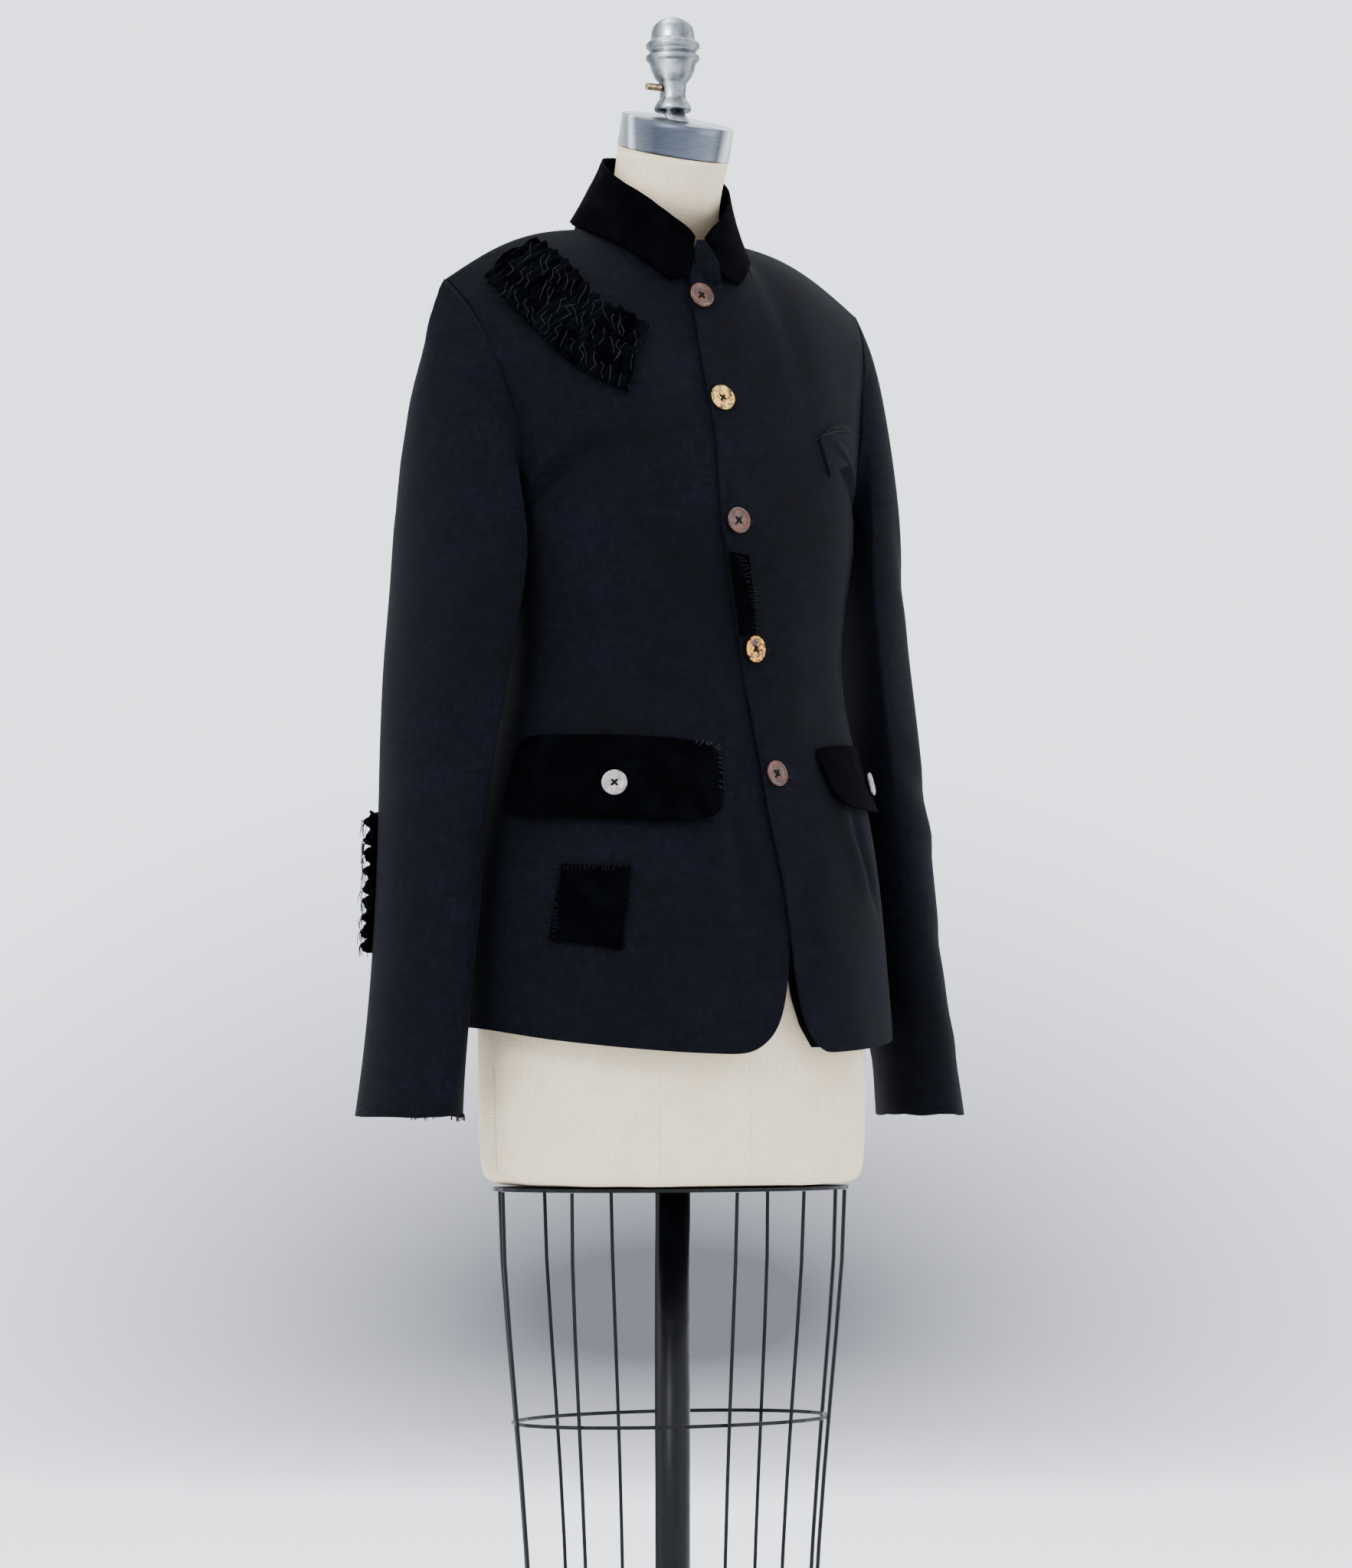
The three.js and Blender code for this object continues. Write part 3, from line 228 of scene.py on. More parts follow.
def cast_aluminium():
    """Cast and polished aluminium: silver, softly mottled by pits that hold grey oxide, with
    painted reflections of its polish in upright bands of light and dark."""
    made, tree, shader, place = start("cast_aluminium", Metallic=1.0)
    mottle = grains(tree, place, 9, 3.0, 0.55)
    pits = grains(tree, place, 1.4, 2.0, 0.6)
    # Painted reflections: upright light and dark bands, by the direction round it.
    reflection_bands = painted_reflection_bands(tree, place, (
        (0.01, "#4e5357"), (0.06, "#7e8386"), (0.11, "#cfd1d2"), (0.17, "#92979a"),
        (0.25, "#5f6569"), (0.31, "#8b9093"), (0.36, "#53585c"), (0.6, "#8f9396"), (0.85, "#6b7074")))
    oxide = ramp(tree, mottle, 0.34, 0.6, ("#b9bcbe", "#ffffff"))
    tree.links.new(mixed(tree, 0.8, reflection_bands, oxide, "MULTIPLY"), shader.inputs["Base Color"])
    tree.links.new(range_of(tree, mottle, 0.35, 0.65, 0.42, 0.26), shader.inputs["Roughness"])
    bumped(tree, shader, pits, 0.08, 0.25)
    return made


def black_enamel():
    """Steel wire and tube dipped in black stoving enamel: satin black with a slight orange
    peel and dusty scuffs."""
    made, tree, shader, place = start("black_stoving_enamel", Specular_IOR_Level=0.14,
                                      Coat_Weight=0.03, Coat_Roughness=0.3)
    dust = grains(tree, place, 18, 4.0, 0.65)
    peel = grains(tree, place, 2.5, 2.0)
    tree.links.new(ramp(tree, dust, 0.45, 0.8, ("#020305", "#08090d")), shader.inputs["Base Color"])
    tree.links.new(range_of(tree, dust, 0.35, 0.75, 0.34, 0.55), shader.inputs["Roughness"])
    bumped(tree, shader, peel, 0.08, 0.3)
    return made


def polished_brass():
    """A turned brass screw, browned where fingers don't reach."""
    made, tree, shader, place = start("turned_brass", Metallic=1.0)
    tarnish = grains(tree, place, 4, 3.0)
    tree.links.new(ramp(tree, tarnish, 0.35, 0.7, ("#5b4a2f", "#b09a72")), shader.inputs["Base Color"])
    tree.links.new(range_of(tree, tarnish, 0.3, 0.7, 0.5, 0.28), shader.inputs["Roughness"])
    return made


def polished_button(name, shades, size_mm, sharpness=0.12):
    """Polished casein or horn, clouded all through in two shades under a clear gloss."""
    made, tree, shader, place = start(name, Roughness=0.18, Specular_IOR_Level=0.35,
                                      Coat_Weight=0.15, Coat_Roughness=0.05)
    cloud = grains(tree, place, size_mm, 3.0, 0.55)
    streak = grains(tree, place, size_mm * 0.35, 3.0, 0.7)
    blend = add(tree, "ShaderNodeMath", {0: cloud, 1: streak}, operation="ADD").outputs[0]
    half = add(tree, "ShaderNodeMath", {0: blend, 1: 0.5}, operation="MULTIPLY").outputs[0]
    tree.links.new(ramp(tree, half, 0.5 - sharpness, 0.5 + sharpness, shades), shader.inputs["Base Color"])
    bumped(tree, shader, streak, 0.05, 0.2)
    return made


def spun_thread(name, light, dark):
    """Spun sewing thread, twisted tightly, slightly glossy."""
    made, tree, shader, place = start(name, Roughness=0.75, Specular_IOR_Level=0.12)
    twist = grains(tree, place, 0.8, 3.0, 0.7)
    tree.links.new(ramp(tree, twist, 0.35, 0.65, (dark, light)), shader.inputs["Base Color"])
    bumped(tree, shader, twist, 0.2, 0.4)
    return made


WOOL = milled_wool()
VELVET = silk_velvet()
GATHERED = silk_velvet("gathered_silk_velvet", "#05070b", "#000001", 0.03)
FACING = silk_velvet("black_silk_facing", "#050608", "#020203", 0.05)
CANVAS = cotton_canvas()
CAP_METAL = brushed_aluminium()
FINIAL_METAL = cast_aluminium()
ENAMEL = black_enamel()
BRASS = polished_brass()
COPPER = polished_button("copper_brown_casein", ("#170703", "#4f2614"), 6)
PALE_GOLD = polished_button("marbled_horn", ("#3f2408", "#d4ac4c"), 6, 0.05)
AMBER = polished_button("tortoiseshell_casein", ("#2a1004", "#cf8f22"), 7, 0.04)
SHELL = polished_button("grey_pink_shell", ("#5f585b", "#a59c9c"), 6)
BLACK_THREAD = spun_thread("black_cotton_thread", "#08090c", "#010102")
GREY_THREAD = spun_thread("grey_frayed_silk", "#32363d", "#0e1014")
LINEN_THREAD = spun_thread("linen_thread", "#a89a80", "#6f6350")


# ---- shaping ----

def smooth_step(t):
    """From 0 to 1 with a soft start and end."""
    t = min(1.0, max(0.0, t))
    return t * t * (3 - 2 * t)


def object_of(name, bm):
    """Makes a smooth-shaded object of a bmesh, at the origin."""
    mesh = bpy.data.meshes.new(name)
    bm.to_mesh(mesh)
    bm.free()
    for polygon in mesh.polygons:
        polygon.use_smooth = True
    made = bpy.data.objects.new(name, mesh)
    bpy.context.scene.collection.objects.link(made)
    return made


def finish_piece(name, bm, material, replaces=()):
    """Makes a piece of the part, riding on the stand."""
    made = object_of(name, bm)
    made.data.materials.append(material)
    if replaces:
        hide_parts(*replaces)
    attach(made, "root")
    return made


def settled(passing, *helpers):
    """The form of an object after its modifiers; the object and its helpers are deleted."""
    bpy.context.view_layer.update()
    evaluated = passing.evaluated_get(bpy.context.evaluated_depsgraph_get())
    result = bmesh.new()
    result.from_mesh(evaluated.to_mesh())
    evaluated.to_mesh_clear()
    for spent in (passing, *helpers):
        mesh = spent.data
        bpy.data.objects.remove(spent)
        bpy.data.meshes.remove(mesh)
    return result


def quads_of(node):
    """A node's mesh as a bmesh of its quads."""
    bm = bmesh.new()
    bm.from_mesh(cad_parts[node].data)
    bmesh.ops.remove_doubles(bm, verts=bm.verts, dist=0.01 * MM)
    bmesh.ops.join_triangles(bm, faces=bm.faces, angle_face_threshold=math.radians(60),
                             angle_shape_threshold=math.radians(80))
    return bm


def subdivided(bm, levels, rim_angle=None):
    """Catmull-Clark smoothing; edges sharper than rim_angle keep their line."""
    if rim_angle is not None:
        crease = bm.edges.layers.float.get("crease_edge") or bm.edges.layers.float.new("crease_edge")
        for edge in bm.edges:
            if len(edge.link_faces) == 2 and edge.calc_face_angle() > math.radians(rim_angle):
                edge[crease] = 1.0
    passing = object_of("passing", bm)
    smoothing = passing.modifiers.new("smoothing", "SUBSURF")
    smoothing.levels = smoothing.render_levels = levels
    return settled(passing)


# A crease works no further than this in front of its line or behind it, which leaves the
# garment's other side alone.
CREASE_REACH = 60 * MM
# It runs on past each end by a share of its length, fading softly: a larger fade starts later.
CREASE_OVERRUN = 0.3
CREASE_FADE = 1.35
# Its width wavers by this share, and all cloth is a little uneven: depth, and waves a metre.
WIDTH_WAVER, WAVERS_A_METRE = 0.35, 25
UNEVENNESS, WAVES_A_METRE = 0.5 * MM, 14


class Crease:
    """A soft trough (depth below 0) or ridge along a line between two places."""

    def __init__(self, start, end, width, depth, bend=0.0):
        self.start, self.end = Vector(start) * MM, Vector(end) * MM
        self.width, self.depth, self.bend = width * MM, depth * MM, bend * MM

    def at(self, point, outward):
        """How far the cloth moves outward here; the line need not lie on the cloth."""
        line = self.end - self.start
        along = (point - self.start).dot(line) / line.length_squared
        if along < -CREASE_OVERRUN or along > 1 + CREASE_OVERRUN:
            return 0.0
        ends = smooth_step(CREASE_FADE - abs(along - 0.5) * 2)
        bow = self.bend * (1 - (2 * along - 1) ** 2)
        away = point - (self.start + line * along + Vector((0, 0, bow)))
        height = away.dot(outward)
        if abs(height) > CREASE_REACH:
            return 0.0
        waver = WIDTH_WAVER * noise.noise(point * WAVERS_A_METRE)
        off = (away - outward * height).length / (self.width * (1 + waver))
        return self.depth * math.exp(-off * off) * ends


def press_creases(bm, creases, outward):
    """Moves points out or in by the creases, along a direction given by outward(point)."""
    for vert in bm.verts:
        way = outward(vert.co)
        push = sum(crease.at(vert.co, way) for crease in creases)
        push += UNEVENNESS * noise.noise(vert.co * WAVES_A_METRE)
        vert.co += way * push


BODY_MIDDLE_Y = 0.01


def from_body(point):
    """Outward of the body, level."""
    return Vector((point.x, point.y - BODY_MIDDLE_Y, 0)).normalized()


TUBE_OVERLAP = 1.06


def tube(bm, points, radius, sides=6):
    """A round thread through points, of overlapping short pieces."""
    for a, b in zip(points, points[1:]):
        run = b - a
        if run.length < 1e-6:
            continue
        turn = run.to_track_quat("Z", "Y").to_matrix().to_4x4()
        bmesh.ops.create_cone(bm, cap_ends=True, segments=sides, radius1=radius, radius2=radius,
                              depth=run.length * TUBE_OVERLAP,
                              matrix=Matrix.Translation((a + b) / 2) @ turn)


class Cloth:
    """Finished pieces that others are set on: finds places and normals on their surface."""

    def __init__(self, *pieces):
        bm = bmesh.new()
        for piece in pieces:
            bm.from_mesh(piece.data)
        self.tree = BVHTree.FromBMesh(bm)
        bm.free()

    def seen(self, x_px, y_px):
        """The place and normal that the camera sees at a pixel of its full frame."""
        return self.tree.ray_cast(EYE, ray_through(x_px, y_px))[:2]

    def near(self, point):
        """The nearest place and its normal."""
        return self.tree.find_nearest(point)[:2]


# ---- camera ----

EYE = Vector((-2.0, -3.464, 0.77))
EYE_TURN = math.radians(-30.04)
EYE_TILT = math.radians(3.465)
LENS = 110.1
SENSOR = 36.0


def make_camera():
    data = bpy.data.cameras.new("camera")
    data.lens = LENS
    data.sensor_width = SENSOR
    made = bpy.data.objects.new("camera", data)
    made.location = EYE
    made.rotation_euler = (math.radians(90) + EYE_TILT, 0, EYE_TURN)
    bpy.context.scene.collection.objects.link(made)
    bpy.context.scene.camera = made


def ray_through(x_px, y_px):
    """Direction from the camera through a pixel of its full frame."""
    focal = LENS / SENSOR * IMAGE_HEIGHT
    local = Vector((x_px - IMAGE_WIDTH / 2, IMAGE_HEIGHT / 2 - y_px, -focal))
    turn = Matrix.Rotation(EYE_TURN, 3, "Z") @ Matrix.Rotation(math.radians(90) + EYE_TILT, 3, "X")
    return (turn @ local).normalized()


make_camera()


# ---- the jacket's panels ----

# Each fold, listed one by one: its two ends in millimetres, its width, how far it stands out or in,
# and how far its middle bows upwards.
FRONT_RIGHT_CREASES = [
    Crease((-156, -34, 1236), (-112, -84, 1287), 6, -9, 4),
    Crease((-150, -40, 1252), (-108, -88, 1301), 9, 5.5, 4),
    Crease((-150, -44, 1216), (-112, -84, 1252), 13, -3.5, 3),
    Crease((-128, -72, 1220), (-104, -92, 1130), 14, -2.6),
    Crease((-60, -112, 1090), (-120, -85, 1045), 16, -2.5, 6),
    Crease((-130, -82, 1010), (-165, -30, 1060), 14, -2.5),
    Crease((-20, -115, 1150), (-80, -112, 1120), 14, -1.8, -5),
    Crease((-20, -122, 1010), (-8, -138, 890), 12, -3.0),
    Crease((-34, -122, 1000), (-26, -138, 880), 12, 2.4),
    Crease((-100, -130, 960), (-60, -135, 800), 16, 1.6),
    Crease((-150, -90, 950), (-160, -95, 800), 14, -2.2),
]
FRONT_LEFT_CREASES = [
    Crease((154, -36, 1240), (116, -80, 1284), 7, -6, 3),
    Crease((148, -44, 1258), (112, -84, 1300), 9, 3.5, 3),
    Crease((100, -96, 985), (128, -88, 905), 8, -6.5),
    Crease((88, -104, 990), (112, -104, 910), 12, 3.2),
    Crease((60, -112, 1060), (130, -75, 1085), 14, -2.5, 5),
    Crease((66, -130, 960), (60, -140, 810), 14, 1.8),
    Crease((10, -118, 1180), (60, -112, 1160), 12, -1.6, -4),
    Crease((2, -112, 1250), (4, -112, 1200), 9, 2.0),
    Crease((4, -116, 1120), (6, -118, 1075), 9, -2.0),
    Crease((22, -124, 1040), (26, -130, 990), 10, 2.2),
]
BACK_CREASES = [
    Crease((-60, 118, 1060), (60, 118, 1052), 16, -3.5, -8),
    Crease((-50, 115, 1090), (55, 116, 1094), 14, 2.2, 6),
    Crease((-150, 70, 1290), (-90, 105, 1180), 16, -4),
    Crease((150, 70, 1290), (90, 105, 1180), 16, -4),
    Crease((-40, 130, 960), (-55, 138, 820), 18, 2.2),
    Crease((70, 125, 970), (60, 138, 830), 18, -2.6),
]


# Edges of the cloth that turn by more than this many degrees stay sharp when smoothed.
CLOTH_RIM = 50


def panel(node, creases):
    """A front or back: wool shaped on its node, with its own folds."""
    bm = subdivided(quads_of(node), 3, CLOTH_RIM)
    press_creases(bm, creases, from_body)
    made = finish_piece(node + "_cloth", bm, WOOL, (node,))
    return made


front_right = panel("front_right", FRONT_RIGHT_CREASES)
front_left = panel("front_left", FRONT_LEFT_CREASES)
back_right = panel("back_right", BACK_CREASES)
back_left = panel("back_left", BACK_CREASES)

# Sleeves: soft folds at the elbow bend and short drag lines into the armhole.
SLEEVE_RIGHT_CREASES = [
    Crease((-198, -55, 1250), (-215, -20, 1180), 12, -3.5),
    Crease((-185, -60, 1190), (-232, -30, 1110), 14, 3),
    Crease((-190, -52, 1060), (-245, -20, 1010), 12, -3.5, -4),
    Crease((-200, -50, 1010), (-250, 20, 990), 12, 2.6),
    Crease((-200, -48, 960), (-250, -10, 935), 12, -2.6, 4),
    Crease((-215, -45, 880), (-258, 0, 850), 12, 2.0),
    Crease((-222, -48, 830), (-262, -10, 800), 11, -2.2),
    Crease((-180, -45, 1320), (-222, -5, 1290), 14, -2.4),
]
SLEEVE_LEFT_CREASES = [
    Crease((198, -50, 1240), (222, -15, 1170), 12, -3),
    Crease((190, -50, 1050), (245, -15, 1000), 12, -3.2),
    Crease((200, -45, 990), (250, 20, 965), 12, 2.6),
    Crease((215, -45, 900), (255, 0, 870), 12, -2.4),
    Crease((222, -45, 830), (260, -5, 790), 12, 2.2),
]


# The sleeve's middle, left side: straight down to the upper height, then to the cuff's middle.
SLEEVE_BENDS_AT, CUFF_AT = 1.20, 0.736
UPPER_MIDDLE, CUFF_MIDDLE = Vector((0.198, 0.028)), Vector((0.248, 0.002))


def from_sleeve(point):
    """Outward of the sleeve, whose middle line leans out and forward on its way down."""
    down = max(0.0, (SLEEVE_BENDS_AT - point.z) / (SLEEVE_BENDS_AT - CUFF_AT))
    middle = UPPER_MIDDLE + (CUFF_MIDDLE - UPPER_MIDDLE) * down
    side = 1 if point.x > 0 else -1
    return Vector((point.x - side * middle.x, point.y - middle.y, 0)).normalized()


def sleeve(node, creases):
    """A sleeve: an open tube of wool on its node, with its own folds."""
    bm = subdivided(quads_of(node), 2, CLOTH_RIM)
    press_creases(bm, creases, from_sleeve)
    made = finish_piece(node + "_cloth", bm, WOOL, (node,))
    return made


sleeve_right = sleeve("sleeve_right", SLEEVE_RIGHT_CREASES)
sleeve_left = sleeve("sleeve_left", SLEEVE_LEFT_CREASES)


# ---- trim ----

PILE_WAVES_A_METRE = 90


def soft_trim(node, ruffle, material=VELVET, sink=0.0):
    """Collar, flaps and patches: the node's own cloth, smoothed, its pile uneven by ruffle and,
    where it is sewn down hard, sunk into what it lies on; both in millimetres."""
    bm = subdivided(quads_of(node), 2, CLOTH_RIM)
    bm.normal_update()
    for vert in bm.verts:
        vert.co += vert.normal * ruffle * MM * noise.noise(vert.co * PILE_WAVES_A_METRE)
        vert.co -= from_body(vert.co) * sink * MM
    made = finish_piece(node + "_cloth", bm, material, (node,))
    return made


# The neck seam: the collar's lower edge is turned in over the fronts and backs, as a soft roll.
# Its line, from the throat to the middle of the back, is the same on both sides.
NECK_SEAM = [
    (19, -51, 1434), (31, -50.5, 1429), (37, -49, 1432.5), (43, -44.6, 1438.3), (52, -33.4, 1450.5),
    (57.8, -22, 1458.5), (62.2, -11.3, 1464), (66.5, 1, 1469.5), (69.5, 14, 1474.3), (71.5, 28, 1479),
    (71, 44, 1485.5), (60, 60, 1489.5), (43, 72.5, 1492.5), (20, 81, 1495), (0, 83.5, 1496),
]
NECK_ROLL_RADIUS = 2.0 * MM


def neck_seam(name, side):
    bm = bmesh.new()
    tube(bm, [Vector((side * x, y, z)) * MM for x, y, z in NECK_SEAM], NECK_ROLL_RADIUS, 10)
    finish_piece(name, bm, VELVET)


soft_trim("collar", 0.4)
neck_seam("neck_seam_right", -1)
neck_seam("neck_seam_left", 1)
flap_right = soft_trim("flap_right", 0.5)
flap_left = soft_trim("flap_left", 0.5)
welt = soft_trim("breast_welt", 0.2, WOOL, 1.5)
placket_patch = soft_trim("placket_patch", 0.4)
square_patch = soft_trim("square_patch", 0.6)

# Gathers: how high each ruffle stands, as shares of the full height, how the ruffles wander
# along the band, and the finer folds that lie over them.
RUFFLE_HEIGHTS = (0.45, 1.2)
RUFFLE_ROUNDNESS = 0.75
RUFFLE_WANDER, WANDERS_A_METRE = 0.6, 26
FINE_FOLDS, FINE_SHARE = 2.7, 0.35
FINE_WANDER, FINE_WANDERS_A_METRE = 4, 60


def gathered(node, first, last, ruffles, height, flat):
    """A gathered band: ruffles stand across the line from the first to the last place (mm),
    rounded on top and pinched sharply between, each of its own height."""
    bm = subdivided(quads_of(node), 3)
    bm.normal_update()
    first, last = Vector(first) * MM, Vector(last) * MM
    run = last - first
    heights = [chance.uniform(*RUFFLE_HEIGHTS) for _ in range(ruffles * 3)]
    for vert in bm.verts:
        along = (vert.co - first).dot(run) / run.length_squared
        phase = along * ruffles + RUFFLE_WANDER * noise.noise(vert.co * WANDERS_A_METRE)
        fold = abs(math.sin(math.pi * phase)) ** RUFFLE_ROUNDNESS - 0.5
        drift = FINE_WANDER * noise.noise(vert.co * FINE_WANDERS_A_METRE)
        fine = 0.5 * abs(math.sin(math.pi * FINE_FOLDS * phase + drift))
        tall = heights[int(phase) % len(heights)]
        vert.co += vert.normal * height * MM * (tall * fold + FINE_SHARE * fine)
    made = finish_piece(node + "_velvet", bm, GATHERED, (node,))
    return made


RUCHING_LINE = ((-78, -85, 1342), (-150, 5, 1458))
ELBOW_LINE = ((-215, 62, 870), (-212, 70, 986))
ruching = gathered("shoulder_ruching", *RUCHING_LINE, 24, 3.2, (0.06, 0.20))
elbow = gathered("elbow_ruffle", *ELBOW_LINE, 15, 3.0, (0.085, 0.14))


# ---- buttons ----

def facing_of(node):
    """Middle of a flat round node and the way its face looks."""
    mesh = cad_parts[node].data
    middle = sum((v.co for v in mesh.vertices), Vector()) / len(mesh.vertices)
    face = max(mesh.polygons, key=lambda p: p.area).normal.copy()
    return middle, -face if face.y > 0 else face


def spun(outline, steps):
    """A bmesh turned about Z from pairs of radius and height, in metres."""
    bm = bmesh.new()
    ring = [bm.verts.new((radius, 0, height)) for radius, height in outline]
    for a, b in zip(ring, ring[1:]):
        bm.edges.new((a, b))
    bmesh.ops.spin(bm, geom=bm.verts[:] + bm.edges[:], cent=(0, 0, 0), axis=(0, 0, 1),
                   angle=2 * math.pi, steps=steps, use_merge=True)
    bmesh.ops.remove_doubles(bm, verts=bm.verts, dist=0.001 * MM)
    bmesh.ops.recalc_face_normals(bm, faces=bm.faces)
    return bm


def spun_profile(profile, steps):
    """The same from pairs in millimetres."""
    return spun([(radius * MM, height * MM) for radius, height in profile], steps)


def bored(bm, places, radius):
    """Eyes bored through along Z at the given places, in millimetres."""
    drill = bmesh.new()
    for x, y in places:
        bmesh.ops.create_cone(drill, cap_ends=True, segments=16, radius1=radius * MM,
                              radius2=radius * MM, depth=20 * MM,
                              matrix=Matrix.Translation((x * MM, y * MM, 0)))
    blank, cutter = object_of("blank", bm), object_of("cutter", drill)
    cut = blank.modifiers.new("eyes", "BOOLEAN")
    cut.operation, cut.solver, cut.object = "DIFFERENCE", "EXACT", cutter
    return settled(blank, cutter)


# Share of the radius and height in millimetres: flat back, raised rim, dished middle.
BUTTON_PROFILE = [
    (0, -1.5), (0.80, -1.5), (0.95, -0.8), (1.0, 0.2), (0.97, 1.2), (0.90, 1.6), (0.83, 1.35),
    (0.76, 0.75), (0.62, 0.45), (0.3, 0.3), (0, 0.3),
]
# The four eyes and the thread, in millimetres: the thread comes out of each eye, crosses over
# in three strands and goes back in.
EYE_RADIUS, EYE_SPREAD = 0.95, 1.9
STRANDS, STRAND_RADIUS = (-0.45, 0.0, 0.45), 0.3
THREAD_UNDER, THREAD_OVER, THREAD_TOP = -1.2, 0.5, 0.9
MOST_SWING = 12


def four_eyed_button(node, radius, material, turn):
    """A turned button sewn on with a cross of thread; turn is how far it has swung round
    towards the wearer's left, in degrees."""
    middle, face = facing_of(node)
    face = Matrix.Rotation(math.radians(turn), 3, "Z") @ face
    set_on = Matrix.Translation(middle) @ face.to_track_quat("Z", "Y").to_matrix().to_4x4()
    swing = math.radians(chance.uniform(-MOST_SWING, MOST_SWING))
    set_on = set_on @ Matrix.Rotation(swing, 4, "Z")
    bm = spun_profile([(share * radius, height) for share, height in BUTTON_PROFILE], 64)
    eyes = [(x * EYE_SPREAD, y * EYE_SPREAD) for x, y in ((1, 1), (-1, 1), (-1, -1), (1, -1))]
    bm = bored(bm, eyes, EYE_RADIUS)
    bm.transform(set_on)
    finish_piece(node + "_turned", bm, material, (node,))
    bm = bmesh.new()
    for crossing, (a, b) in enumerate(((0, 2), (1, 3))):
        for strand in STRANDS:
            off = Vector((strand, strand if crossing else -strand, 0))
            one, other = Vector((*eyes[a], 0)) + off, Vector((*eyes[b], 0)) + off
            top = (one + other) / 2 + Vector((0, 0, THREAD_TOP + 0.2 * crossing))
            under, over = Vector((0, 0, THREAD_UNDER)), Vector((0, 0, THREAD_OVER))
            run = [one + under, one + over, top, other + over, other + under]
            tube(bm, [set_on @ (place * MM) for place in run], STRAND_RADIUS * MM)
    finish_piece(node + "_thread", bm, BLACK_THREAD)


four_eyed_button("button_1", 11, COPPER, 13)
four_eyed_button("button_2", 11, PALE_GOLD, 10)
four_eyed_button("button_3", 11, COPPER, 4)
four_eyed_button("button_4", 11, AMBER, 15)
four_eyed_button("button_5", 11, COPPER, 8)
four_eyed_button("flap_button_right", 10.5, SHELL, 0)
four_eyed_button("flap_button_left", 10, SHELL, 0)


# ---- sewing ----

def between(a, b, t):
    """The place at share t of the way from pixel a to pixel b."""
    return (a[0] + (b[0] - a[0]) * t, a[1] + (b[1] - a[1]) * t)


def laid(bm, cloth, pixels, radius, lift, steps=2):
    """A thread over the cloth where the camera sees the pixels."""
    points = []
    for a, b in zip(pixels, pixels[1:]):
        for step in range(steps + 1):
            place, normal = cloth.seen(*between(a, b, step / steps))
            if place is not None:
                points.append(place + normal * lift * MM)
    tube(bm, points, radius * MM)


# Whip stitches differ in where they stand, their length and their slant, as shares of these.
STITCH_PLACE, STITCH_LENGTH, STITCH_SLANT = 0.3, (0.7, 1.25), (-0.1, 0.6)
STITCH_LIFT = 0.35


def whip_stitches(name, cloth, outline, spacing, length, material):
    """Overcast stitches along an outline of pixels, each crossing it at its own slant."""
    bm = bmesh.new()
    for a, b in zip(outline, outline[1:]):
        run = math.dist(a, b)
        across = ((b[1] - a[1]) / run, (a[0] - b[0]) / run)
        count = max(1, round(run / spacing))
        for number in range(count):
            place = number + 0.5 + chance.uniform(-STITCH_PLACE, STITCH_PLACE)
            spot = between(a, b, place / count)
            reach = length / 2 * chance.uniform(*STITCH_LENGTH)
            slant = chance.uniform(*STITCH_SLANT) * reach
            along = ((b[0] - a[0]) / run * slant, (b[1] - a[1]) / run * slant)
            ends = [(spot[0] + way * (across[0] * reach + along[0]),
                     spot[1] + way * (across[1] * reach + along[1])) for way in (-1, 1)]
            laid(bm, cloth, ends, 0.3, STITCH_LIFT)
    finish_piece(name, bm, material)


FRAY_STEPS = 6


def loose_threads(name, cloth, starts, reach, fall, radius=0.3):
    """Frayed ends that leave the cloth, wander and hang, from places in millimetres."""
    bm = bmesh.new()
    for spot in starts:
        place, normal = cloth.near(Vector(spot) * MM)
        side = normal.cross(Vector((0, 0, 1))).normalized()
        swing = chance.uniform(-1, 1)
        length = reach * chance.uniform(0.4, 1.1)
        points = []
        for step in range(FRAY_STEPS + 1):
            t = step / FRAY_STEPS
            out = length * (0.7 * t - 0.45 * t * t)
            sideways = swing * length * (t - 0.5 * t * t)
            drop = fall * t * t * chance.uniform(0.9, 1.1)
            points.append(place + (normal * out + side * sideways - Vector((0, 0, drop))) * MM)
        tube(bm, points, radius * MM, 5)
    finish_piece(name, bm, BLACK_THREAD)


# Where the camera sees each edge, in pixels of its full frame.
SQUARE_EDGE = [(728, 1131), (826, 1130), (813, 1245), (720, 1234), (728, 1131)]
PLACKET_EDGE = [
    (944, 720), (958, 717), (968, 727), (976, 750), (984, 782), (987, 806), (986, 828), (970, 832),
]
SATIN_CORNER = [(905, 968), (926, 970), (938, 975), (941, 1000), (942, 1030)]
trims = Cloth(front_right, front_left, square_patch, placket_patch, flap_right, flap_left)
whip_stitches("square_patch_stitches", trims, SQUARE_EDGE, 5.5, 9, BLACK_THREAD)
whip_stitches("placket_patch_stitches", trims, PLACKET_EDGE, 5, 8, BLACK_THREAD)
whip_stitches("flap_corner_stitches", trims, SATIN_CORNER, 8, 6, GREY_THREAD)

# Each buttonhole: its two ends, showing past the outer side of its button.
BUTTONHOLES = [
    ((934, 375), (941, 374)), ((956, 523), (965, 521)), ((976, 684), (983, 683)),
    ((994, 850), (1004, 848)), ((1024, 1015), (1032, 1013)),
]
HOLE_HALF_GAP, HOLE_HALF_BAR = 1.3, 2.5
HOLE_CORD, HOLE_LIFT = 0.7, 0.1


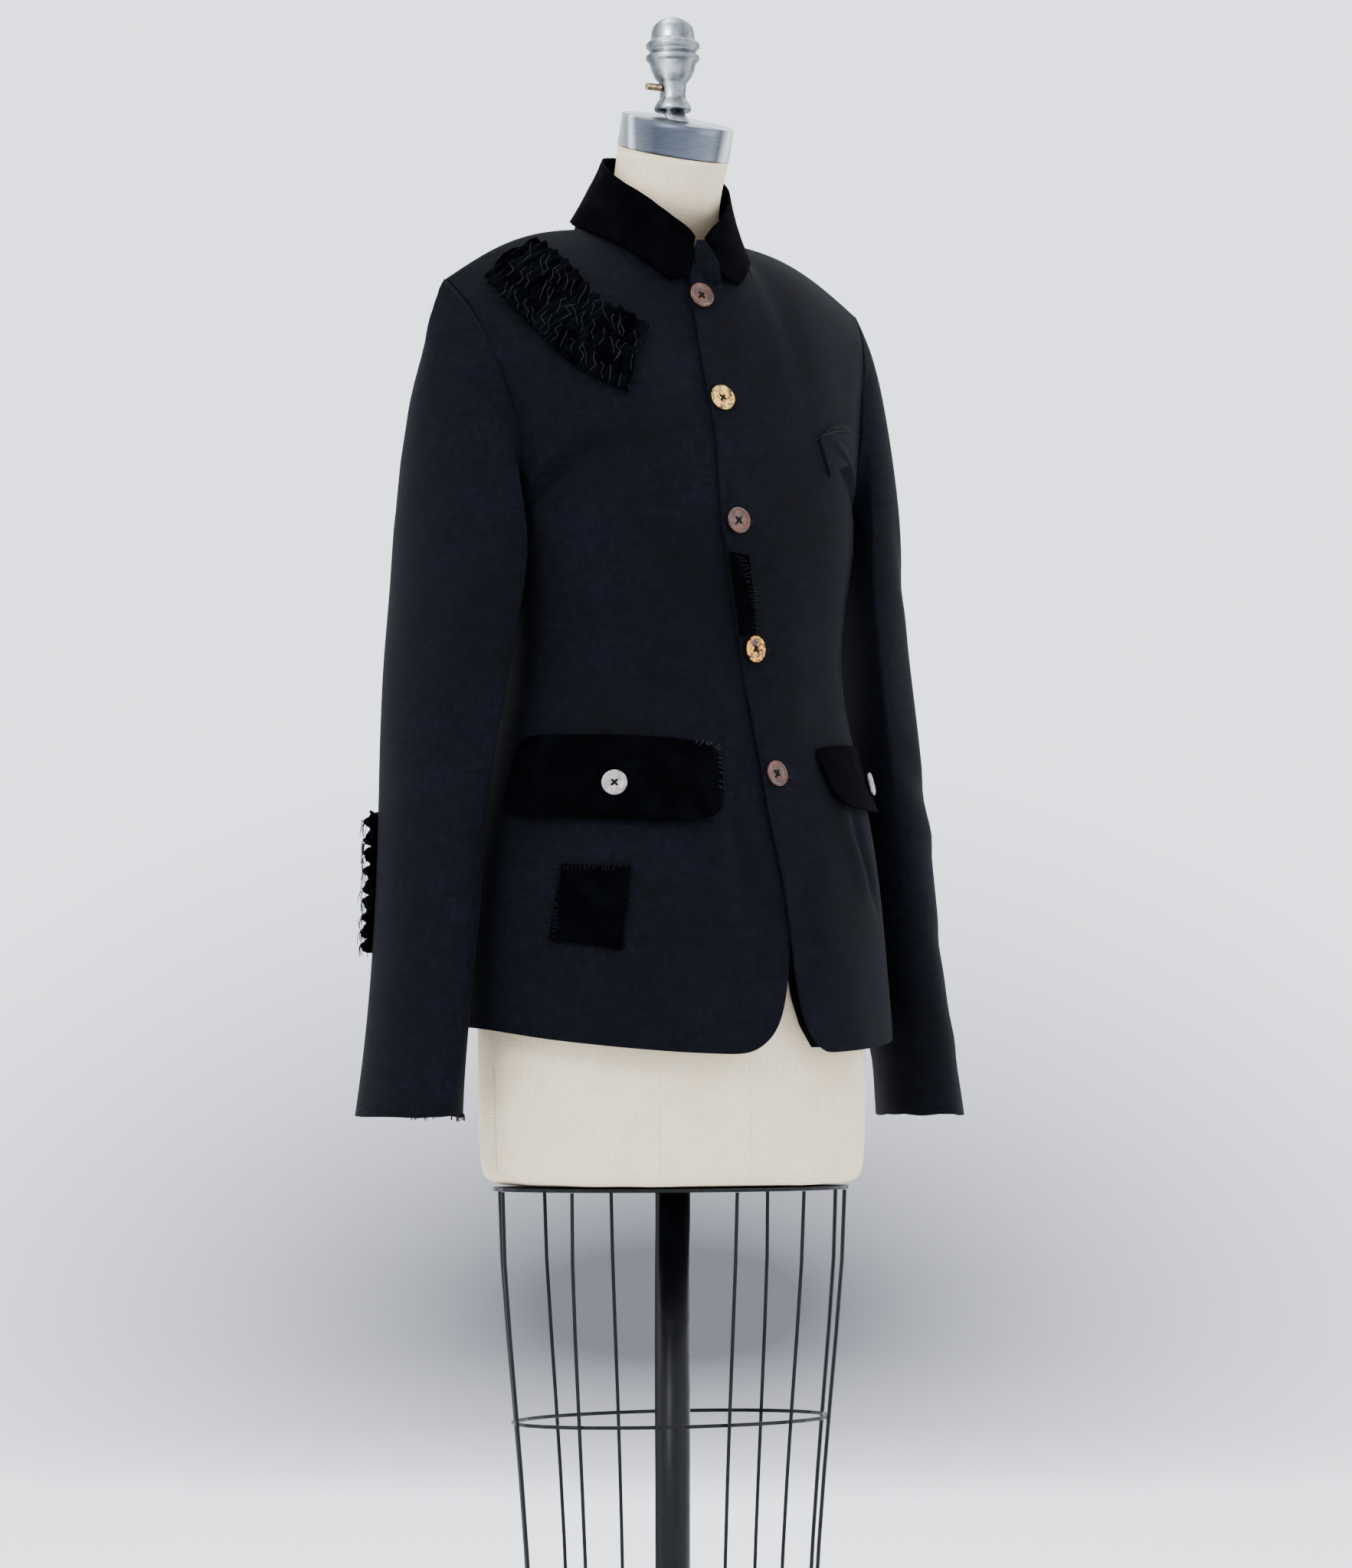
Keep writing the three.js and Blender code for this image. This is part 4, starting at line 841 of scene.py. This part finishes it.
def worked_buttonholes(cloth):
    """Two corded sides and a bar across the outer end."""
    bm = bmesh.new()
    for left, right in BUTTONHOLES:
        for drop in (-HOLE_HALF_GAP, HOLE_HALF_GAP):
            side = [(left[0], left[1] + drop), (right[0], right[1] + drop)]
            laid(bm, cloth, side, HOLE_CORD, HOLE_LIFT, 4)
        bar = [(right[0], right[1] - HOLE_HALF_BAR), (right[0], right[1] + HOLE_HALF_BAR)]
        laid(bm, cloth, bar, HOLE_CORD, HOLE_LIFT)
    finish_piece("worked_buttonholes", bm, BLACK_THREAD)


# Loose silk hairs lie across the gathers, along three lines given in pixels.
HAIR_LINES = [((668, 348), (838, 480)), ((652, 374), (822, 510)), ((690, 328), (848, 456))]
HAIRS_A_LINE = 17
HAIR_RADIUS, HAIR_LIFT = 0.2, 0.25


def ruching_hairs(cloth):
    bm = bmesh.new()
    for line in HAIR_LINES:
        for number in range(HAIRS_A_LINE):
            x, y = between(*line, (number + chance.random()) / HAIRS_A_LINE)
            lean = chance.uniform(-4, 9)
            path = [(x - lean + chance.uniform(-3, 3), y + 12), (x + chance.uniform(-4, 4), y + 4),
                    (x + chance.uniform(-4, 4), y - 5), (x + lean, y - chance.uniform(8, 15))]
            laid(bm, cloth, path, HAIR_RADIUS, HAIR_LIFT, 3)
    finish_piece("ruching_hairs", bm, GREY_THREAD)


worked_buttonholes(Cloth(front_right, front_left))
gathers = Cloth(ruching, elbow)
ruching_hairs(gathers)
# Three frays every 4.4 mm up the ruffle's outer edge.
elbow_ends = [(-268 + chance.uniform(0, 14), 50 + chance.uniform(0, 30), 872 + 4.4 * number)
              for number in range(26) for _ in range(3)]
loose_threads("elbow_frays", gathers, elbow_ends, 12, 9)

# The turned-in facing of the wearer's left front, seen through the opening at its hem: its
# free edge and, beside it, the front's own edge, from the top down.
FACING_FREE = [(1040, 1208), (1029, 1236), (1027, 1262), (1032, 1300), (1043, 1337), (1059, 1366)]
FACING_HELD = [(1046, 1206), (1048, 1236), (1056, 1262), (1060, 1300), (1064, 1337), (1068, 1366)]
FACING_BEHIND, FACING_BOW, FACING_THICKNESS = 3.5, 3, 0.8
# It reaches this many pixels behind the front, whose depth is found a little further in.
FACING_LAP, DEPTH_FOUND_AT = 6, 10

# The wool tab that closes the throat, between the collar's front ends, from the foot up.
TAB_OVER = [(903, 366), (904, 345), (905, 328), (909, 313)]
TAB_INNER = [(942, 366), (940, 345), (931, 328), (920, 313)]
TAB_FOOT = (914, 362)
TAB_BEHIND, TAB_LEAN, TAB_BOW, TAB_THICKNESS = 1.0, 6.0, 2.0, 1.5


def along_line(line, t):
    """The place at share t along a line of pixels."""
    place = t * (len(line) - 1)
    step = min(int(place), len(line) - 2)
    return between(line[step], line[step + 1], place - step)


def thin_piece(name, rows, place_of, thickness, material):
    """A small strip of cloth: place_of gives each point from its shares across and up."""
    bm = bmesh.new()
    bmesh.ops.create_grid(bm, x_segments=6, y_segments=rows, size=1.0)
    for vert in bm.verts:
        vert.co = place_of((vert.co.x + 1) / 2, (vert.co.y + 1) / 2)
    bmesh.ops.solidify(bm, geom=bm.faces[:], thickness=thickness * MM)
    bmesh.ops.recalc_face_normals(bm, faces=bm.faces)
    finish_piece(name, bm, material)


left_front = Cloth(front_left)


def facing_place(across, up):
    """Behind the front's edge, as deep as the front is there."""
    held = along_line(FACING_HELD, 1 - up)
    seen = left_front.seen(held[0] + DEPTH_FOUND_AT, held[1])[0]
    pixel = between(along_line(FACING_FREE, 1 - up), (held[0] + FACING_LAP, held[1]), across)
    reach = (seen - EYE).length + (FACING_BEHIND + FACING_BOW * (1 - across) ** 2) * MM
    return EYE + ray_through(*pixel) * reach


def tab_place(across, up):
    """Behind the front at the foot, leaning back to the neck on its way up."""
    foot = left_front.seen(*TAB_FOOT)[0]
    pixel = between(along_line(TAB_OVER, up), along_line(TAB_INNER, up), across)
    behind = TAB_BEHIND + TAB_LEAN * up + TAB_BOW * (across - 0.5) ** 2
    return EYE + ray_through(*pixel) * ((foot - EYE).length + behind * MM)


thin_piece("front_facing", 24, facing_place, FACING_THICKNESS, FACING)
thin_piece("neck_tab", 12, tab_place, TAB_THICKNESS, WOOL)

# The breast pocket's mouth stands a little open: a thin black thread along the top is partly its dark
# lining's edge and partly a painted shadow inside the mouth.
WELT_MOUTH = [(1062, 576), (1074, 569), (1090, 564), (1104, 563), (1116, 567), (1120, 572)]
bm = bmesh.new()
laid(bm, Cloth(front_left, welt), WELT_MOUTH, 0.6, 0.0, 4)
finish_piece("welt_mouth_lining_and_shadow", bm, BLACK_THREAD)

# The cuff's raw edge frays round its front.
cuff_ends = [(-262 + 2.3 * number + chance.uniform(-2, 2), -38 + chance.uniform(-8, 8), 738)
             for number in range(30)]
loose_threads("cuff_frays", Cloth(sleeve_right), cuff_ends, 4, 5, 0.4)


# ---- dress form and stand ----

def smoothed_node(name, node, rim, material):
    """A node that only needs its facets smoothed away."""
    return finish_piece(name, subdivided(quads_of(node), 2, rim), material, (node,))


canvas = Cloth(smoothed_node("form_canvas", "form_torso", 50, CANVAS))
# Seams of the canvas below the hem; the side seam shows its stitches, a little beside it.
SIDE_SEAM = ((642, 1392), (646, 1532))
FORM_SEAMS = [SIDE_SEAM, ((860, 1388), (862, 1540)), ((978, 1384), (982, 1542)),
              ((1066, 1392), (1064, 1538))]
SEAM_STITCHES, STITCH_FROM, STITCH_TO, BESIDE_SEAM = 30, 0.15, 0.8, 3


def form_seams():
    bm = bmesh.new()
    for number in range(SEAM_STITCHES):
        stitch = [between(*SIDE_SEAM, (number + t) / SEAM_STITCHES) for t in (STITCH_FROM, STITCH_TO)]
        laid(bm, canvas, [(x + BESIDE_SEAM, y) for x, y in stitch], 0.3, 0.0, 1)
    finish_piece("form_seam_stitches", bm, LINEN_THREAD)
    bm = bmesh.new()
    for seam in FORM_SEAMS:
        laid(bm, canvas, seam, 0.35, 0.0, 24)
    finish_piece("form_seam_folds", bm, CANVAS)


form_seams()


def carried_over(node, material):
    """A CAD node whose shape is right gets its finish."""
    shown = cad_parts[node]
    shown.data.materials.clear()
    shown.data.materials.append(material)


def turned(name, profile, steps, material, node, bevel):
    """A turned piece from pairs of radius and height, its edges softened; in millimetres."""
    made = finish_piece(name, spun_profile(profile, steps), material, (node,))
    if bevel:
        softened = made.modifiers.new("softened edges", "BEVEL")
        softened.width = bevel * MM
        softened.segments = 3
        softened.limit_method = "ANGLE"
        softened.angle_limit = math.radians(28)


FINIAL_FOOT = 1580
FINIAL = [
    (0, 0), (15.5, 0), (15.8, 3), (14, 6.5), (11.2, 10.5), (10.9, 16), (11.6, 23.5), (15.4, 28.5),
    (18.2, 34), (19.6, 40.5), (22.8, 43.5), (22.8, 46.5), (19.6, 49), (19.6, 51), (22.8, 54),
    (22.8, 57), (18.6, 60.5), (18.4, 66), (16.6, 72), (12, 76.5), (5, 79.5), (0, 80),
]
BASE = [(0, 0), (199, 0), (205, 5), (203, 12), (165, 18), (60, 24), (26, 34), (24, 60), (0, 60)]
POLE = [(0, 60.3), (14.5, 60.3), (14.5, 674.2), (0, 674.2)]
turned("finial_casting", [(radius, height + FINIAL_FOOT) for radius, height in FINIAL], 64,
       FINIAL_METAL, "finial", 1.2)
turned("base_casting", BASE, 96, ENAMEL, "base", 2.0)
turned("pole_tube", POLE, 48, ENAMEL, "pole", 0)
smoothed_node("cap_metal", "neck_cap", 30, CAP_METAL)
carried_over("finial_hub", FINIAL_METAL)
carried_over("set_screw", BRASS)
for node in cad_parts:
    if node.startswith("cage_"):
        carried_over(node, ENAMEL)


# ---- stage ----

# A round floor that curves up into a wall, in metres, and the middle of a painted shade, a broad
# grey patch low behind the stand: how far from it the painted shade begins and ends to pale.
FLOOR_RADIUS, COVE_RADIUS, WALL_TOP = 5.5, 3.5, 7.0
PAINTED_SHADE_MIDDLE, PALES_FROM, PALES_TO = (3.4, 5.9, 0.2), 0.3, 2.2
LIGHTS_AIM = Vector((0, 0, 1.15))
ROOM_LIGHT = 2.65


def backdrop_paint_with_painted_shade():
    """Matt pale paint, with painted shade: a greyer patch low behind the stand."""
    made, tree, shader, place = start("matt_paint_with_painted_shade", Roughness=1.0, Specular_IOR_Level=0.0)
    away = add(tree, "ShaderNodeVectorMath", {0: place, 1: PAINTED_SHADE_MIDDLE},
               operation="DISTANCE").outputs["Value"]
    pale = range_of(tree, away, PALES_FROM, PALES_TO, 0.0, 1.0)
    # Painted shade: the paint darkens towards the patch's middle.
    tree.links.new(ramp(tree, pale, 0.0, 1.0, ("#5d5e64", "#fbfcff")), shader.inputs["Base Color"])
    return made


def make_stage():
    turns = [math.radians(9 * step) for step in range(1, 11)]
    cove = [(FLOOR_RADIUS + COVE_RADIUS * math.sin(turn), COVE_RADIUS - COVE_RADIUS * math.cos(turn))
            for turn in turns]
    outline = [(0, 0), (FLOOR_RADIUS, 0), *cove, (FLOOR_RADIUS + COVE_RADIUS, WALL_TOP)]
    bm = spun(outline, 96)
    bmesh.ops.reverse_faces(bm, faces=bm.faces)
    floor = object_of("floor", bm)
    floor.data.materials.append(backdrop_paint_with_painted_shade())


def soft_light(name, place, size, power):
    data = bpy.data.lights.new(name, "AREA")
    data.shape = "DISK"
    data.size = size
    data.energy = power
    made = bpy.data.objects.new(name, data)
    made.location = place
    made.rotation_euler = (LIGHTS_AIM - Vector(place)).to_track_quat("-Z", "Y").to_euler()
    bpy.context.scene.collection.objects.link(made)


def light_the_room():
    """An even, slightly cool light from all round."""
    world = bpy.data.worlds.new("soft room")
    bpy.context.scene.world = world
    world.use_nodes = True
    background = world.node_tree.nodes["Background"]
    background.inputs["Color"].default_value = linear("#f4f6fb")
    background.inputs["Strength"].default_value = ROOM_LIGHT


make_stage()
soft_light("key", (-3.4, -2.2, 3.5), 1.8, 150)
soft_light("fill", (2.4, -4.0, 2.2), 3.2, 45)
soft_light("top", (0.3, 0.6, 4.6), 3.0, 60)
light_the_room()
